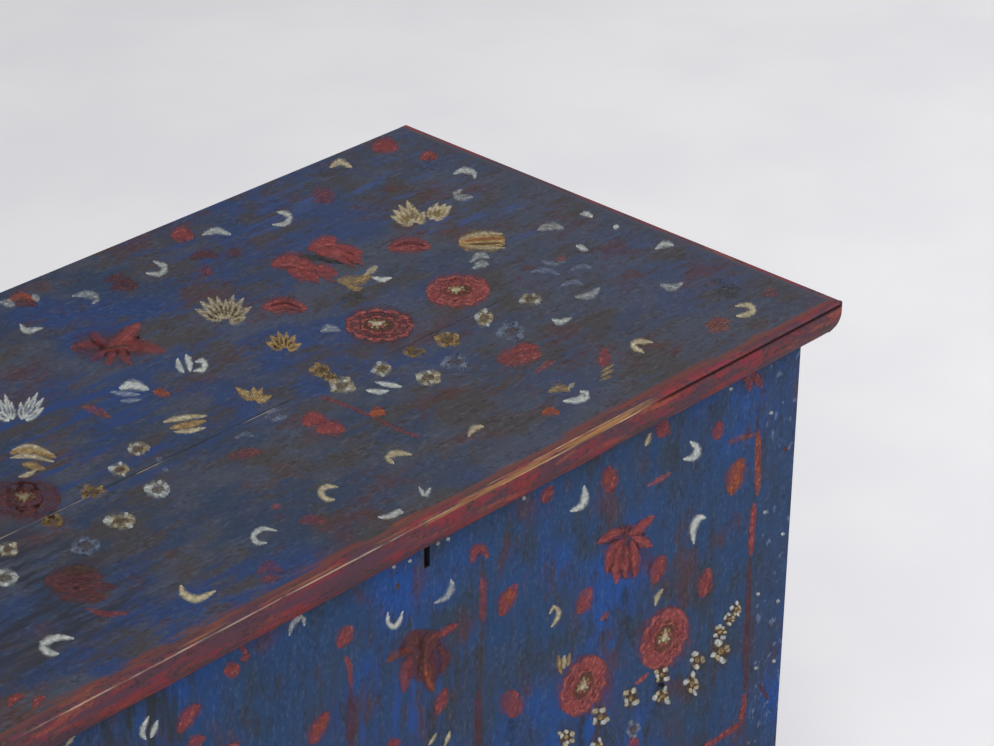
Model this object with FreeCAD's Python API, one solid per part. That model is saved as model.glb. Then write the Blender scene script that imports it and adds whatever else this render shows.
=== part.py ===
import FreeCAD, Part
import os

# A plank chest with a flat overhanging lid, moulded edges, strap hinges and a sliding-bolt lock.
# Millimetres. The origin is on the floor under the chest's middle: +X to the right end, the front faces -Y.

# Overall
lid_length = 1074.0
lid_depth = 580.0
total_height = 600.0
lid_overhang = 26.5

# Case boards
wall_thickness = 25.0
wall_foot = 12.0
rim_gap = 0.3
floor_top = 74.0
floor_thickness = 20.0
floor_board_count = 5
floor_gap = 0.4
cleat_width = 28.0
cleat_height = 36.0

# Plinth
plinth_height = 66.0
plinth_thickness = 18.0
plinth_curve_height = 22.0
plinth_curve_inset = 9.0

# Lid boards, battens and edge moulding
lid_thickness = 28.0
rear_board_depth = 348.6
seam_gap = 0.5
batten_width = 45.0
batten_thickness = 22.0
batten_end_inset = 18.0
batten_side_inset = 18.0
moulding_height = 34.0
moulding_thickness = 12.0
moulding_arris = 3.0
moulding_curve_height = 18.0
moulding_curve_inset = 8.0

# Strap hinges
hinge_spread = 600.0
strap_thickness = 2.5
strap_root_width = 34.0
strap_tip_width = 20.0
upper_strap_length = 290.0
lower_strap_length = 220.0
knuckle_radius = 5.5
middle_knuckle_length = 11.4
knuckle_gap = 0.3
pin_radius = 3.0
pin_clearance = 0.05
pin_head_radius = 4.4
pin_head_length = 2.0
hinge_room = 0.5
strap_room = 0.3
recess_side_room = 4.0

# Lock
keyhole_width = 7.0
keyhole_height = 30.0
keyhole_low_drop = 69.5
lock_plate_thickness = 2.0
lock_plate_left = 60.0
lock_plate_right = 85.0
lock_plate_height = 73.0
lock_plate_drop = 3.7
bolt_length = 72.0
bolt_height = 11.0
bolt_thickness = 6.0
bolt_standoff = 10.0
bolt_drop = 1.0
bolt_lead = 34.0
talon_width = 10.0
talon_depth = 4.0
guide_spread = 50.0
guide_width = 4.0
guide_wall = 4.0
guide_back = 2.5
slide_room = 0.3
staple_place = 45.0
staple_thickness = 5.0
staple_width = 16.0
staple_wall = 4.0
staple_eye_height = 14.0
staple_foot = 6.0
staple_plate_length = 50.0
staple_plate_width = 26.0
staple_plate_thickness = 2.5
bridge_span = 44.0
bridge_width = 22.0
bridge_rise = 20.0
bridge_thickness = 2.0
bridge_foot = 13.0
key_post_radius = 2.0
key_post_drop = 4.5
key_post_reach = 8.0
spring_thickness = 1.0
spring_span = 34.0
spring_rise = 5.0
spring_foot = 5.0

# Pegs and nails
driven_room = 0.05
peg_radius = 4.5
peg_length = 70.0
peg_low_margin = 80.0
peg_high_margin = 50.0
corner_peg_count = 5
trim_peg_radius = 2.5
trim_peg_bite = 15.0
trim_peg_margin = 60.0
plinth_peg_height = 40.0
moulding_peg_drop = 9.0
front_trim_peg_count = 7
side_trim_peg_count = 4
nail_radius = 1.5
nail_head_radius = 4.0
nail_head_height = 1.3
nail_bite = 18.0
nail_margin = 14.0
cleat_nail_count = 5
cleat_nail_rise = 9.0
cleat_nail_bite = 14.0
cleat_nail_margin = 40.0
batten_nail_count = 4
batten_nail_margin = 40.0
strap_nail_count = 4
lower_nail_margin = 40.0
lock_nail_inset = 8.0

V = FreeCAD.Vector
X = V(1, 0, 0)
Y = V(0, 1, 0)
Z = V(0, 0, 1)

# Places worked out from the sizes above
case_half_length = lid_length / 2 - lid_overhang
case_half_depth = lid_depth / 2 - lid_overhang
inner_half_length = case_half_length - wall_thickness
inner_half_depth = case_half_depth - wall_thickness
lid_under = total_height - lid_thickness
wall_top = lid_under - rim_gap
floor_under = floor_top - floor_thickness
cleat_low = floor_under - cleat_height
hinge_half_spread = hinge_spread / 2
hinge_y = case_half_depth + knuckle_radius + hinge_room
hinge_z = lid_under + strap_thickness / 2
lock_y = -inner_half_depth + lock_plate_thickness
keyhole_low = total_height - keyhole_low_drop
keyhole_high = keyhole_low + keyhole_height
bolt_z = keyhole_low - bolt_drop - bolt_height / 2
bolt_y = lock_y + bolt_standoff


def block(x, y, z):
    """A box from its (low, high) spans."""
    return Part.makeBox(x[1] - x[0], y[1] - y[0], z[1] - z[0], V(x[0], y[0], z[0]))


def rod(radius, start, end):
    """A cylinder between two points."""
    return Part.makeCylinder(radius, (end - start).Length, start, end - start)


def prism(points, along):
    """A closed polygon pushed along a vector."""
    return Part.Face(Part.makePolygon(points + points[:1])).extrude(along)


def spaced(low, high, count):
    """Evenly spaced places from low to high."""
    return [low + (high - low) * i / (count - 1) for i in range(count)]


def fused(shapes):
    """One solid from pieces that meet."""
    return shapes[0].multiFuse(shapes[1:]).removeSplitter()


def save(name, shape):
    """Writes one piece under its node's name."""
    shape.exportStep("parts/" + name + ".step")


class Driven:
    """A peg or nail driven inward from a point on a surface; a peg has no head."""

    def __init__(self, start, inward, length, radius, head_radius=0.0):
        self.start = start
        self.inward = inward
        self.length = length
        self.radius = radius
        self.head_radius = head_radius

    def solid(self):
        """The peg or nail itself."""
        shank = rod(self.radius, self.start, self.start + self.inward * self.length)
        if not self.head_radius:
            return shank
        head = Part.makeCone(self.head_radius, self.radius, nail_head_height, self.start, -self.inward)
        return fused([shank, head])

    def hole(self):
        """The hole it sits in."""
        end = self.start + self.inward * (self.length + driven_room)
        return rod(self.radius + driven_room, self.start, end)


def nail(start, inward, through, bite=nail_bite):
    """A headed nail through a piece and some way into what is behind it."""
    return Driven(start, inward, through + bite, nail_radius, nail_head_radius)


def trim_peg(start, inward, through):
    """A slim flush peg through a strip of trim."""
    return Driven(start, inward, through + trim_peg_bite, trim_peg_radius)


def holes(*groups):
    """The holes for groups of pegs and nails."""
    return [item.hole() for group in groups for item in group]


def save_driven(name, group):
    """Writes a group of pegs or nails as one node of separate solids."""
    save(name, Part.makeCompound([item.solid() for item in group]))


def curve_radius(height, inset):
    """The radius of an arc that starts upright and leans in by inset over a height."""
    return (height ** 2 + inset ** 2) / (2 * inset)


def curve_middle(height, inset):
    """The inset and height half way along that arc."""
    radius = curve_radius(height, inset)
    middle = V(2 * radius - inset, height, 0).normalize() * radius
    return radius - middle.x, middle.y


def strip_profile(steps, place):
    """A closed moulding section: steps are lines to a point, or arcs through one point to another."""
    edges = []
    last = place(*steps[0][0])
    for step in steps[1:]:
        points = [place(*point) for point in step]
        if len(points) == 1:
            edges.append(Part.LineSegment(last, points[0]).toShape())
        else:
            edges.append(Part.Arc(last, points[0], points[1]).toShape())
        last = points[-1]
    return Part.Face(Part.Wire(edges))


def lid_section():
    """The lid moulding as (inset from the outer face, drop below the lid's top)."""
    bend = moulding_height - moulding_curve_height
    middle_inset, middle_drop = curve_middle(moulding_curve_height, moulding_curve_inset)
    corner = moulding_arris * (1 - 0.5 ** 0.5)
    return [
        [(moulding_thickness, 0)],
        [(moulding_arris, 0)],
        [(corner, corner), (0, moulding_arris)],
        [(0, bend)],
        [(middle_inset, bend + middle_drop), (moulding_curve_inset, moulding_height)],
        [(moulding_thickness, moulding_height)],
        [(moulding_thickness, 0)],
    ]


def plinth_section():
    """The plinth as (inset from the outer face, drop below the plinth's top)."""
    middle_inset, middle_rise = curve_middle(plinth_curve_height, plinth_curve_inset)
    return [
        [(plinth_thickness, plinth_height)],
        [(0, plinth_height)],
        [(0, plinth_curve_height)],
        [(middle_inset, plinth_curve_height - middle_rise), (plinth_curve_inset, 0)],
        [(plinth_thickness, 0)],
        [(plinth_thickness, plinth_height)],
    ]


def mitre(corner_x, corner_y, size, keep_long):
    """The waste beyond the mitre at an outer corner, for the strip along X or the strip along Y."""
    inner = V(corner_x - size if corner_x > 0 else corner_x + size, 0, 0)
    inner.y = corner_y + size if corner_y < 0 else corner_y - size
    waste = V(corner_x, inner.y, 0) if keep_long else V(inner.x, corner_y, 0)
    points = [V(corner_x, corner_y, 0), inner, waste]
    return prism(points, Z * total_height)


def long_strip(section, side, half_length, half_depth, top, size):
    """A moulded strip along X on the front (side -1) or the back (side 1)."""
    face = strip_profile(section,
                         lambda inset, drop: V(-half_length, side * (half_depth - inset), top - drop))
    strip = face.extrude(X * (2 * half_length))
    return strip.cut([mitre(x, side * half_depth, size, True) for x in (-half_length, half_length)])


def end_strip(section, side, half_length, half_depth, top, size, mitred_sides):
    """A moulded strip along Y on the left (side -1) or the right (side 1)."""
    face = strip_profile(section,
                         lambda inset, drop: V(side * (half_length - inset), -half_depth, top - drop))
    strip = face.extrude(Y * (2 * half_depth))
    return strip.cut([mitre(side * half_length, y * half_depth, size, False) for y in mitred_sides])


def strap_face(root_width, tip_width, length, place):
    """A strap's outline: it tapers from its root to a round tip, drawn as (across, along)."""
    root, tip = root_width / 2, tip_width / 2
    shoulder = length - tip
    return strip_profile([
        [(-root, 0)],
        [(root, 0)],
        [(tip, shoulder)],
        [(0, length), (-tip, shoulder)],
        [(-root, 0)],
    ], place)


def make_floor():
    """Crosswise floor boards on two cleats."""
    pitch = 2 * inner_half_length / floor_board_count
    nails = []
    boards = []
    for i in range(floor_board_count):
        low = -inner_half_length + i * pitch
        boards.append(block((low + floor_gap / 2, low + pitch - floor_gap / 2),
                            (-inner_half_depth + floor_gap, inner_half_depth - floor_gap),
                            (floor_under, floor_top)))
        for x in (low + pitch / 4, low + pitch * 3 / 4):
            for side in (-1, 1):
                y = side * (inner_half_depth - cleat_width / 2)
                nails.append(nail(V(x, y, floor_top), -Z, floor_thickness))
    drilled = holes(nails)
    for i, board in enumerate(boards):
        save("bottom_board_%d" % (i + 1), board.cut(drilled))
    save_driven("bottom_nails", nails)
    return drilled


def make_cleats(floor_holes):
    """The two cleats along the front and back, nailed to the walls; returns those nails."""
    nails = []
    reach = inner_half_length - cleat_nail_margin
    for side, name in ((-1, "front"), (1, "rear")):
        for x in spaced(-reach, reach, cleat_nail_count):
            start = V(x, side * (inner_half_depth - cleat_width), cleat_low + cleat_nail_rise)
            nails.append(nail(start, Y * side, cleat_width, cleat_nail_bite))
        y = sorted((side * inner_half_depth, side * (inner_half_depth - cleat_width)))
        x = (-inner_half_length + floor_gap, inner_half_length - floor_gap)
        cleat = block(x, y, (cleat_low, floor_under))
        save("bottom_cleat_" + name, cleat.cut(floor_holes + holes(nails)))
    save_driven("cleat_nails", nails)
    return nails


def make_plinth():
    """The moulded base on all four sides; returns its pegs."""
    half_length = case_half_length + plinth_thickness
    half_depth = case_half_depth + plinth_thickness
    pegs = []
    reach_x = case_half_length - trim_peg_margin
    reach_y = case_half_depth - trim_peg_margin
    for side in (-1, 1):
        for x in spaced(-reach_x, reach_x, front_trim_peg_count):
            pegs.append(trim_peg(V(x, side * half_depth, plinth_peg_height), Y * -side, plinth_thickness))
        for y in spaced(-reach_y, reach_y, side_trim_peg_count):
            pegs.append(trim_peg(V(side * half_length, y, plinth_peg_height), X * -side, plinth_thickness))
    drilled = holes(pegs)
    section = plinth_section()
    for side, long_name, end_name in ((-1, "front", "left"), (1, "back", "right")):
        strip = long_strip(section, side, half_length, half_depth, plinth_height, plinth_thickness)
        save("plinth_" + long_name, strip.cut(drilled))
        strip = end_strip(section, side, half_length, half_depth, plinth_height, plinth_thickness, (-1, 1))
        save("plinth_" + end_name, strip.cut(drilled))
    save_driven("plinth_pegs", pegs)
    return pegs


def corner_pegs():
    """Pegs through the front and back boards into the edges of the end boards."""
    pegs = []
    for z in spaced(wall_foot + peg_low_margin, wall_top - peg_high_margin, corner_peg_count):
        for x in (-1, 1):
            for y in (-1, 1):
                start = V(x * (case_half_length - wall_thickness / 2), y * case_half_depth, z)
                pegs.append(Driven(start, Y * -y, peg_length, peg_radius))
    return pegs


def keyhole(low_y, high_y):
    """The slit that the key goes in by."""
    return block((-keyhole_width / 2, keyhole_width / 2), (low_y, high_y), (keyhole_low, keyhole_high))


def make_walls(driven_holes):
    """The four wall boards: the front and back lap the ends."""
    z = (wall_foot, wall_top)
    across = (-case_half_length, case_half_length)
    front = block(across, (-case_half_depth, -inner_half_depth), z).cut(driven_holes)
    save("front_board", front.cut(keyhole(-case_half_depth, -inner_half_depth)))
    save("back_board", block(across, (inner_half_depth, case_half_depth), z).cut(driven_holes))
    for side, name in ((-1, "left"), (1, "right")):
        x = sorted((side * inner_half_length, side * case_half_length))
        end = block(x, (-inner_half_depth, inner_half_depth), z)
        save(name + "_end_board", end.cut(driven_holes))


def upper_strap(x, room=0.0):
    """The lid's strap without its knuckle, or with room all round, the groove it is let into."""
    root = case_half_depth - hinge_room
    face = strap_face(strap_root_width + 2 * room, strap_tip_width + 2 * room, upper_strap_length + room,
                      lambda across, along: V(x + across, root - along, lid_under))
    return face.extrude(Z * strap_thickness)


def hinge_nails():
    """Nails through the lid's straps and through the case's straps."""
    lid_nails = []
    case_nails = []
    tip = case_half_depth - hinge_room - upper_strap_length
    last = hinge_z - lower_strap_length + nail_margin
    for x in (-hinge_half_spread, hinge_half_spread):
        for y in spaced(inner_half_depth - nail_margin, tip + nail_margin, strap_nail_count):
            lid_nails.append(nail(V(x, y, lid_under), Z, strap_thickness))
        for z in spaced(hinge_z - lower_nail_margin, last, strap_nail_count):
            case_nails.append(nail(V(x, case_half_depth + strap_thickness, z), -Y, strap_thickness))
    return lid_nails, case_nails


def make_hinge(name, x, lid_nails, case_nails):
    """One strap hinge: the lid's strap with the middle knuckle, the case's with the outer two, and a pin."""
    axis = V(x, hinge_y, hinge_z)
    half_root = strap_root_width / 2
    half_middle = middle_knuckle_length / 2
    bore = rod(pin_radius + pin_clearance, axis - X * half_root, axis + X * half_root)

    barrel = rod(knuckle_radius, axis - X * half_middle, axis + X * half_middle)
    neck = block((x - half_middle, x + half_middle), (case_half_depth - 2 * hinge_room, hinge_y),
                 (lid_under, lid_under + strap_thickness))
    upper = fused([upper_strap(x), neck, barrel]).cut(bore)
    save(name + "_hinge_upper_strap", upper.cut(holes(lid_nails)))

    face = strap_face(strap_root_width, strap_tip_width, lower_strap_length,
                      lambda across, along: V(x + across, case_half_depth, hinge_z - along))
    barrel = rod(knuckle_radius, axis - X * half_root, axis + X * half_root)
    half_notch = half_middle + knuckle_gap
    notch_reach = knuckle_radius + hinge_room
    notch = block((x - half_notch, x + half_notch), (case_half_depth, hinge_y + notch_reach),
                  (hinge_z - notch_reach, hinge_z + notch_reach))
    lower = fused([face.extrude(Y * strap_thickness), barrel]).cut([bore, notch])
    save(name + "_hinge_lower_strap", lower.cut(holes(case_nails)))

    head_start = half_root + knuckle_gap
    pin = [rod(pin_radius, axis - X * head_start, axis + X * head_start)]
    for side in (-1, 1):
        start = axis + X * (side * head_start)
        pin.append(rod(pin_head_radius, start, start + X * (side * pin_head_length)))
    save(name + "_hinge_pin", fused(pin))


def make_lid(lid_nails, staple_nails):
    """The lid's two boards with their edge mouldings and battens."""
    half_length = lid_length / 2
    half_depth = lid_depth / 2
    pegs = []
    reach_x = half_length - trim_peg_margin
    reach_y = half_depth - trim_peg_margin
    peg_z = total_height - moulding_peg_drop
    for x in spaced(-reach_x, reach_x, front_trim_peg_count):
        pegs.append(trim_peg(V(x, -half_depth, peg_z), Y, moulding_thickness))
    for side in (-1, 1):
        for y in spaced(-reach_y, reach_y, side_trim_peg_count):
            pegs.append(trim_peg(V(side * half_length, y, peg_z), X * -side, moulding_thickness))
    save_driven("moulding_pegs", pegs)
    peg_holes = holes(pegs)

    section = lid_section()
    front = long_strip(section, -1, half_length, half_depth, total_height, moulding_thickness)
    save("lid_moulding_front", front.cut(peg_holes))
    for side, name in ((-1, "left"), (1, "right")):
        strip = end_strip(section, side, half_length, half_depth, total_height, moulding_thickness, (-1,))
        save("lid_moulding_" + name, strip.cut(peg_holes))

    batten_y = inner_half_depth - batten_end_inset
    batten_under = lid_under - batten_thickness
    batten_nails = []
    battens = {}
    for side, name in ((-1, "left"), (1, "right")):
        outer = side * (inner_half_length - batten_side_inset)
        x = sorted((outer, outer - side * batten_width))
        battens[name] = block(x, (-batten_y, batten_y), (batten_under, lid_under))
        reach = batten_y - batten_nail_margin
        for y in spaced(-reach, reach, batten_nail_count):
            batten_nails.append(nail(V(sum(x) / 2, y, batten_under), Z, batten_thickness))
    for name, batten in battens.items():
        save("lid_batten_" + name, batten.cut(holes(batten_nails)))
    save_driven("batten_nails", batten_nails)

    waste = peg_holes + holes(batten_nails, lid_nails, staple_nails)
    recess_half = strap_root_width / 2 + recess_side_room
    recess_top = hinge_z + knuckle_radius + hinge_room
    for x in (-hinge_half_spread, hinge_half_spread):
        waste.append(upper_strap(x, strap_room))
        waste.append(block((x - recess_half, x + recess_half), (case_half_depth - hinge_room, half_depth),
                           (lid_under, recess_top)))
    board_x = (-half_length + moulding_thickness, half_length - moulding_thickness)
    seam = half_depth - rear_board_depth
    z = (lid_under, total_height)
    save("lid_board_rear", block(board_x, (seam + seam_gap / 2, half_depth), z).cut(waste))
    front_y = (-half_depth + moulding_thickness, seam - seam_gap / 2)
    save("lid_board_front", block(board_x, front_y, z).cut(waste))


def make_staple():
    """The lid's iron staple: a plate with an eye that the bolt goes through; returns its nails."""
    eye_y = bolt_y + bolt_thickness / 2
    half_width = staple_width / 2
    plate_low = lid_under - staple_plate_thickness
    half_plate = staple_plate_length / 2
    plate = block((staple_place - half_plate, staple_place + half_plate),
                  (eye_y - half_width, eye_y - half_width + staple_plate_width), (plate_low, lid_under))
    thickness = (staple_place - staple_thickness / 2, staple_place + staple_thickness / 2)
    half_eye = staple_eye_height / 2
    tongue = block(thickness, (eye_y - half_width, eye_y + half_width),
                   (bolt_z - half_eye - staple_foot, plate_low))
    half_gap = half_width - staple_wall
    eye = block(thickness, (eye_y - half_gap, eye_y + half_gap), (bolt_z - half_eye, bolt_z + half_eye))
    nails = []
    for x in (staple_place - half_plate + lock_nail_inset, staple_place + half_plate - lock_nail_inset):
        middle = eye_y - half_width + staple_plate_width / 2
        nails.append(nail(V(x, middle, plate_low), Z, staple_plate_thickness))
    save("lock_staple", fused([plate, tongue]).cut([eye] + holes(nails)))
    save_driven("staple_nails", nails)
    return nails


def make_lock():
    """The lock behind the keyhole; returns the nails that go into the front board."""
    plate_x = (-lock_plate_left, lock_plate_right)
    plate_high = wall_top - lock_plate_drop
    plate_z = (plate_high - lock_plate_height, plate_high)
    nails = []
    for x in (plate_x[0] + lock_nail_inset, plate_x[1] - lock_nail_inset):
        for z in (plate_z[0] + lock_nail_inset, plate_z[1] - lock_nail_inset):
            nails.append(nail(V(x, lock_y, z), -Y, lock_plate_thickness))
    bridge_high = plate_high - lock_plate_drop
    bridge_z = (bridge_high - bridge_width, bridge_high)
    half_span = bridge_span / 2
    web_y = lock_y + bridge_rise
    rivets = []
    pieces = [block((-half_span, half_span), (web_y - bridge_thickness, web_y), bridge_z)]
    for side in (-1, 1):
        leg = sorted((side * half_span, side * (half_span - bridge_thickness)))
        foot = sorted((side * (half_span - bridge_thickness), side * (half_span + bridge_foot)))
        pieces.append(block(leg, (lock_y, web_y), bridge_z))
        pieces.append(block(foot, (lock_y, lock_y + bridge_thickness), bridge_z))
        start = V(side * (half_span + bridge_foot / 2), lock_y + bridge_thickness, sum(bridge_z) / 2)
        rivets.append(nail(start, -Y, bridge_thickness + lock_plate_thickness, cleat_nail_bite))
    fixings = holes(nails, rivets)
    plate = block(plate_x, (-inner_half_depth, lock_y), plate_z)
    save("lock_plate", plate.cut([keyhole(-inner_half_depth, lock_y)] + fixings))
    save("lock_bridge", fused(pieces).cut(fixings))
    save_driven("lock_nails", nails)
    save_driven("bridge_rivets", rivets)
    post_z = keyhole_high - key_post_drop
    save("key_post", rod(key_post_radius, V(0, web_y - bridge_thickness, post_z),
                         V(0, -inner_half_depth - key_post_reach, post_z)))
    return nails + rivets


def make_bolt_works():
    """The sliding bolt, drawn back, with its two guides and the spring that holds it up."""
    y = (bolt_y, bolt_y + bolt_thickness)
    z = (bolt_z - bolt_height / 2, bolt_z + bolt_height / 2)
    bolt = block((bolt_lead - bolt_length, bolt_lead), y, z)
    talon = block((-talon_width / 2, talon_width / 2), y, (z[1] - talon_depth, z[1]))
    save("lock_bolt", bolt.cut(talon))

    for side, name in ((-1, "left"), (1, "right")):
        middle = side * guide_spread / 2
        x = (middle - guide_width / 2, middle + guide_width / 2)
        outside = guide_wall + slide_room
        guide = block(x, (lock_y, y[1] + slide_room + guide_back), (z[0] - outside, z[1] + outside))
        slot = block(x, (y[0] - slide_room, y[1] + slide_room), (z[0] - slide_room, z[1] + slide_room))
        save("bolt_staple_" + name, guide.cut(slot))

    crest = z[0] - slide_room
    half_span = spring_span / 2

    def outline(low):
        left = V(-half_span, y[0], crest - spring_rise - low)
        return left, V(0, y[0], crest - low), left + X * spring_span

    top, under = outline(0.0), outline(spring_thickness)
    edges = [
        Part.Arc(*top).toShape(),
        Part.LineSegment(top[2], under[2]).toShape(),
        Part.Arc(*reversed(under)).toShape(),
        Part.LineSegment(under[0], top[0]).toShape(),
    ]
    leaf = Part.Face(Part.Wire(edges)).extrude(Y * bolt_thickness)
    foot_z = crest - spring_rise
    foot = block((half_span - spring_foot / 2, half_span + spring_foot / 2), (lock_y, y[1]),
                 (foot_z - spring_foot, foot_z))
    save("bolt_spring", fused([leaf, foot]))


def main():
    os.makedirs("parts", exist_ok=True)
    floor_holes = make_floor()
    cleat_nails = make_cleats(floor_holes)
    plinth_pegs = make_plinth()
    pegs = corner_pegs()
    save_driven("corner_pegs", pegs)
    lid_nails, case_nails = hinge_nails()
    save_driven("hinge_lid_nails", lid_nails)
    save_driven("hinge_case_nails", case_nails)
    lock_fixings = make_lock()
    make_walls(holes(cleat_nails, plinth_pegs, pegs, case_nails, lock_fixings))
    for name, x in (("left", -hinge_half_spread), ("right", hinge_half_spread)):
        make_hinge(name, x, lid_nails, case_nails)
    staple_nails = make_staple()
    make_lid(lid_nails, staple_nails)
    make_bolt_works()


main()
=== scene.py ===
"""Dresses the painted plank chest: worn blue boards, red mouldings, brushed folk flowers and iron."""

import functools
import logging
import math
from dataclasses import dataclass, field, fields, replace
from enum import Enum
from typing import Callable, Iterable, Sequence, Union

import bmesh
import bpy
from mathutils import Matrix, Vector, noise


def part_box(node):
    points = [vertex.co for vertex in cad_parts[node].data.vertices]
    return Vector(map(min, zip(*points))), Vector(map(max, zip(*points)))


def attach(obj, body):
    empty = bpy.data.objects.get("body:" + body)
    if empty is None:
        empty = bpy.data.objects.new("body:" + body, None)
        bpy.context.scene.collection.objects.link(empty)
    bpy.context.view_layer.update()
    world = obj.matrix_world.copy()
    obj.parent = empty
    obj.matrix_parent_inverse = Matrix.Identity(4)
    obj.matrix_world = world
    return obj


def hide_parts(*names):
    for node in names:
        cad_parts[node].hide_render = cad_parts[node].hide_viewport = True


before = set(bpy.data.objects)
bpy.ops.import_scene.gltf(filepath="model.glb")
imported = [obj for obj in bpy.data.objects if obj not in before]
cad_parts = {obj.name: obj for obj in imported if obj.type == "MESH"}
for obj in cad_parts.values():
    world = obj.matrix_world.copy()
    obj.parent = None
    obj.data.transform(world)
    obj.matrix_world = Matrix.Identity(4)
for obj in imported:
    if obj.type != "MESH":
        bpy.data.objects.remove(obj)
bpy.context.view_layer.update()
LOG = logging.getLogger("chest")

Colour = tuple[float, float, float, float]
Triple = tuple[float, float, float]
Limit = tuple["Axis", float, float]
Pixel = tuple[float, float]
Path = tuple[Pixel, ...]
Number = Union[float, "Tone"]

MM = 0.001
NEAR = 0.1 * MM
PEG_SUNK = 1.5 * MM
UP = Vector((0.0, 0.0, 1.0))
FRONTWARDS = Vector((0.0, -1.0, 0.0))


def paint(red: int, green: int, blue: int) -> Colour:
    """A colour as the eye reads it, turned into the linear light that a shader takes.

    Args:
        red: from 0 to 255, and so are the others.
        green: its green part.
        blue: its blue part.
    Returns:
        The colour.
    """
    def linear(part: int) -> float:
        """One channel in linear light."""
        share = part / 255
        return share / 12.92 if share <= 0.04045 else ((share + 0.055) / 1.055) ** 2.4
    return linear(red), linear(green), linear(blue), 1.0


class Axis(Enum):
    """An axis of the chest, by its index."""
    X = 0
    Y = 1
    Z = 2


class Tone:
    """A number that changes over a surface; Python's operators on it add Math nodes."""

    def __init__(self, shader: "Shader", socket: bpy.types.NodeSocket) -> None:
        """Wraps one output socket of a shader's node."""
        self.shader = shader
        self.socket = socket

    def _math(self, operation: str, first: Number, second: Number) -> "Tone":
        """One Math node on two values."""
        node = self.shader.node("ShaderNodeMath", {"operation": operation}, {0: first, 1: second})
        return Tone(self.shader, node.outputs[0])

    def __add__(self, other: Number) -> "Tone":
        """Sum."""
        return self._math("ADD", self, other)

    __radd__ = __add__

    def __sub__(self, other: Number) -> "Tone":
        """Difference."""
        return self._math("SUBTRACT", self, other)

    def __rsub__(self, other: Number) -> "Tone":
        """Difference, the other way round."""
        return self._math("SUBTRACT", other, self)

    def __mul__(self, other: Number) -> "Tone":
        """Product."""
        return self._math("MULTIPLY", self, other)

    def __abs__(self) -> "Tone":
        """Size without its sign."""
        return self._math("ABSOLUTE", self, 0.0)

    def band(self, low: Number, high: Number) -> "Tone":
        """0 at low, 1 at high and an eased step between; low may be the larger.

        Args:
            low: the value that gives 0.
            high: the value that gives 1.
        Returns:
            The eased step.
        """
        node = self.shader.node("ShaderNodeMapRange", {"interpolation_type": "SMOOTHSTEP"},
                                {"Value": self, "From Min": low, "From Max": high})
        return Tone(self.shader, node.outputs[0])


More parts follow.
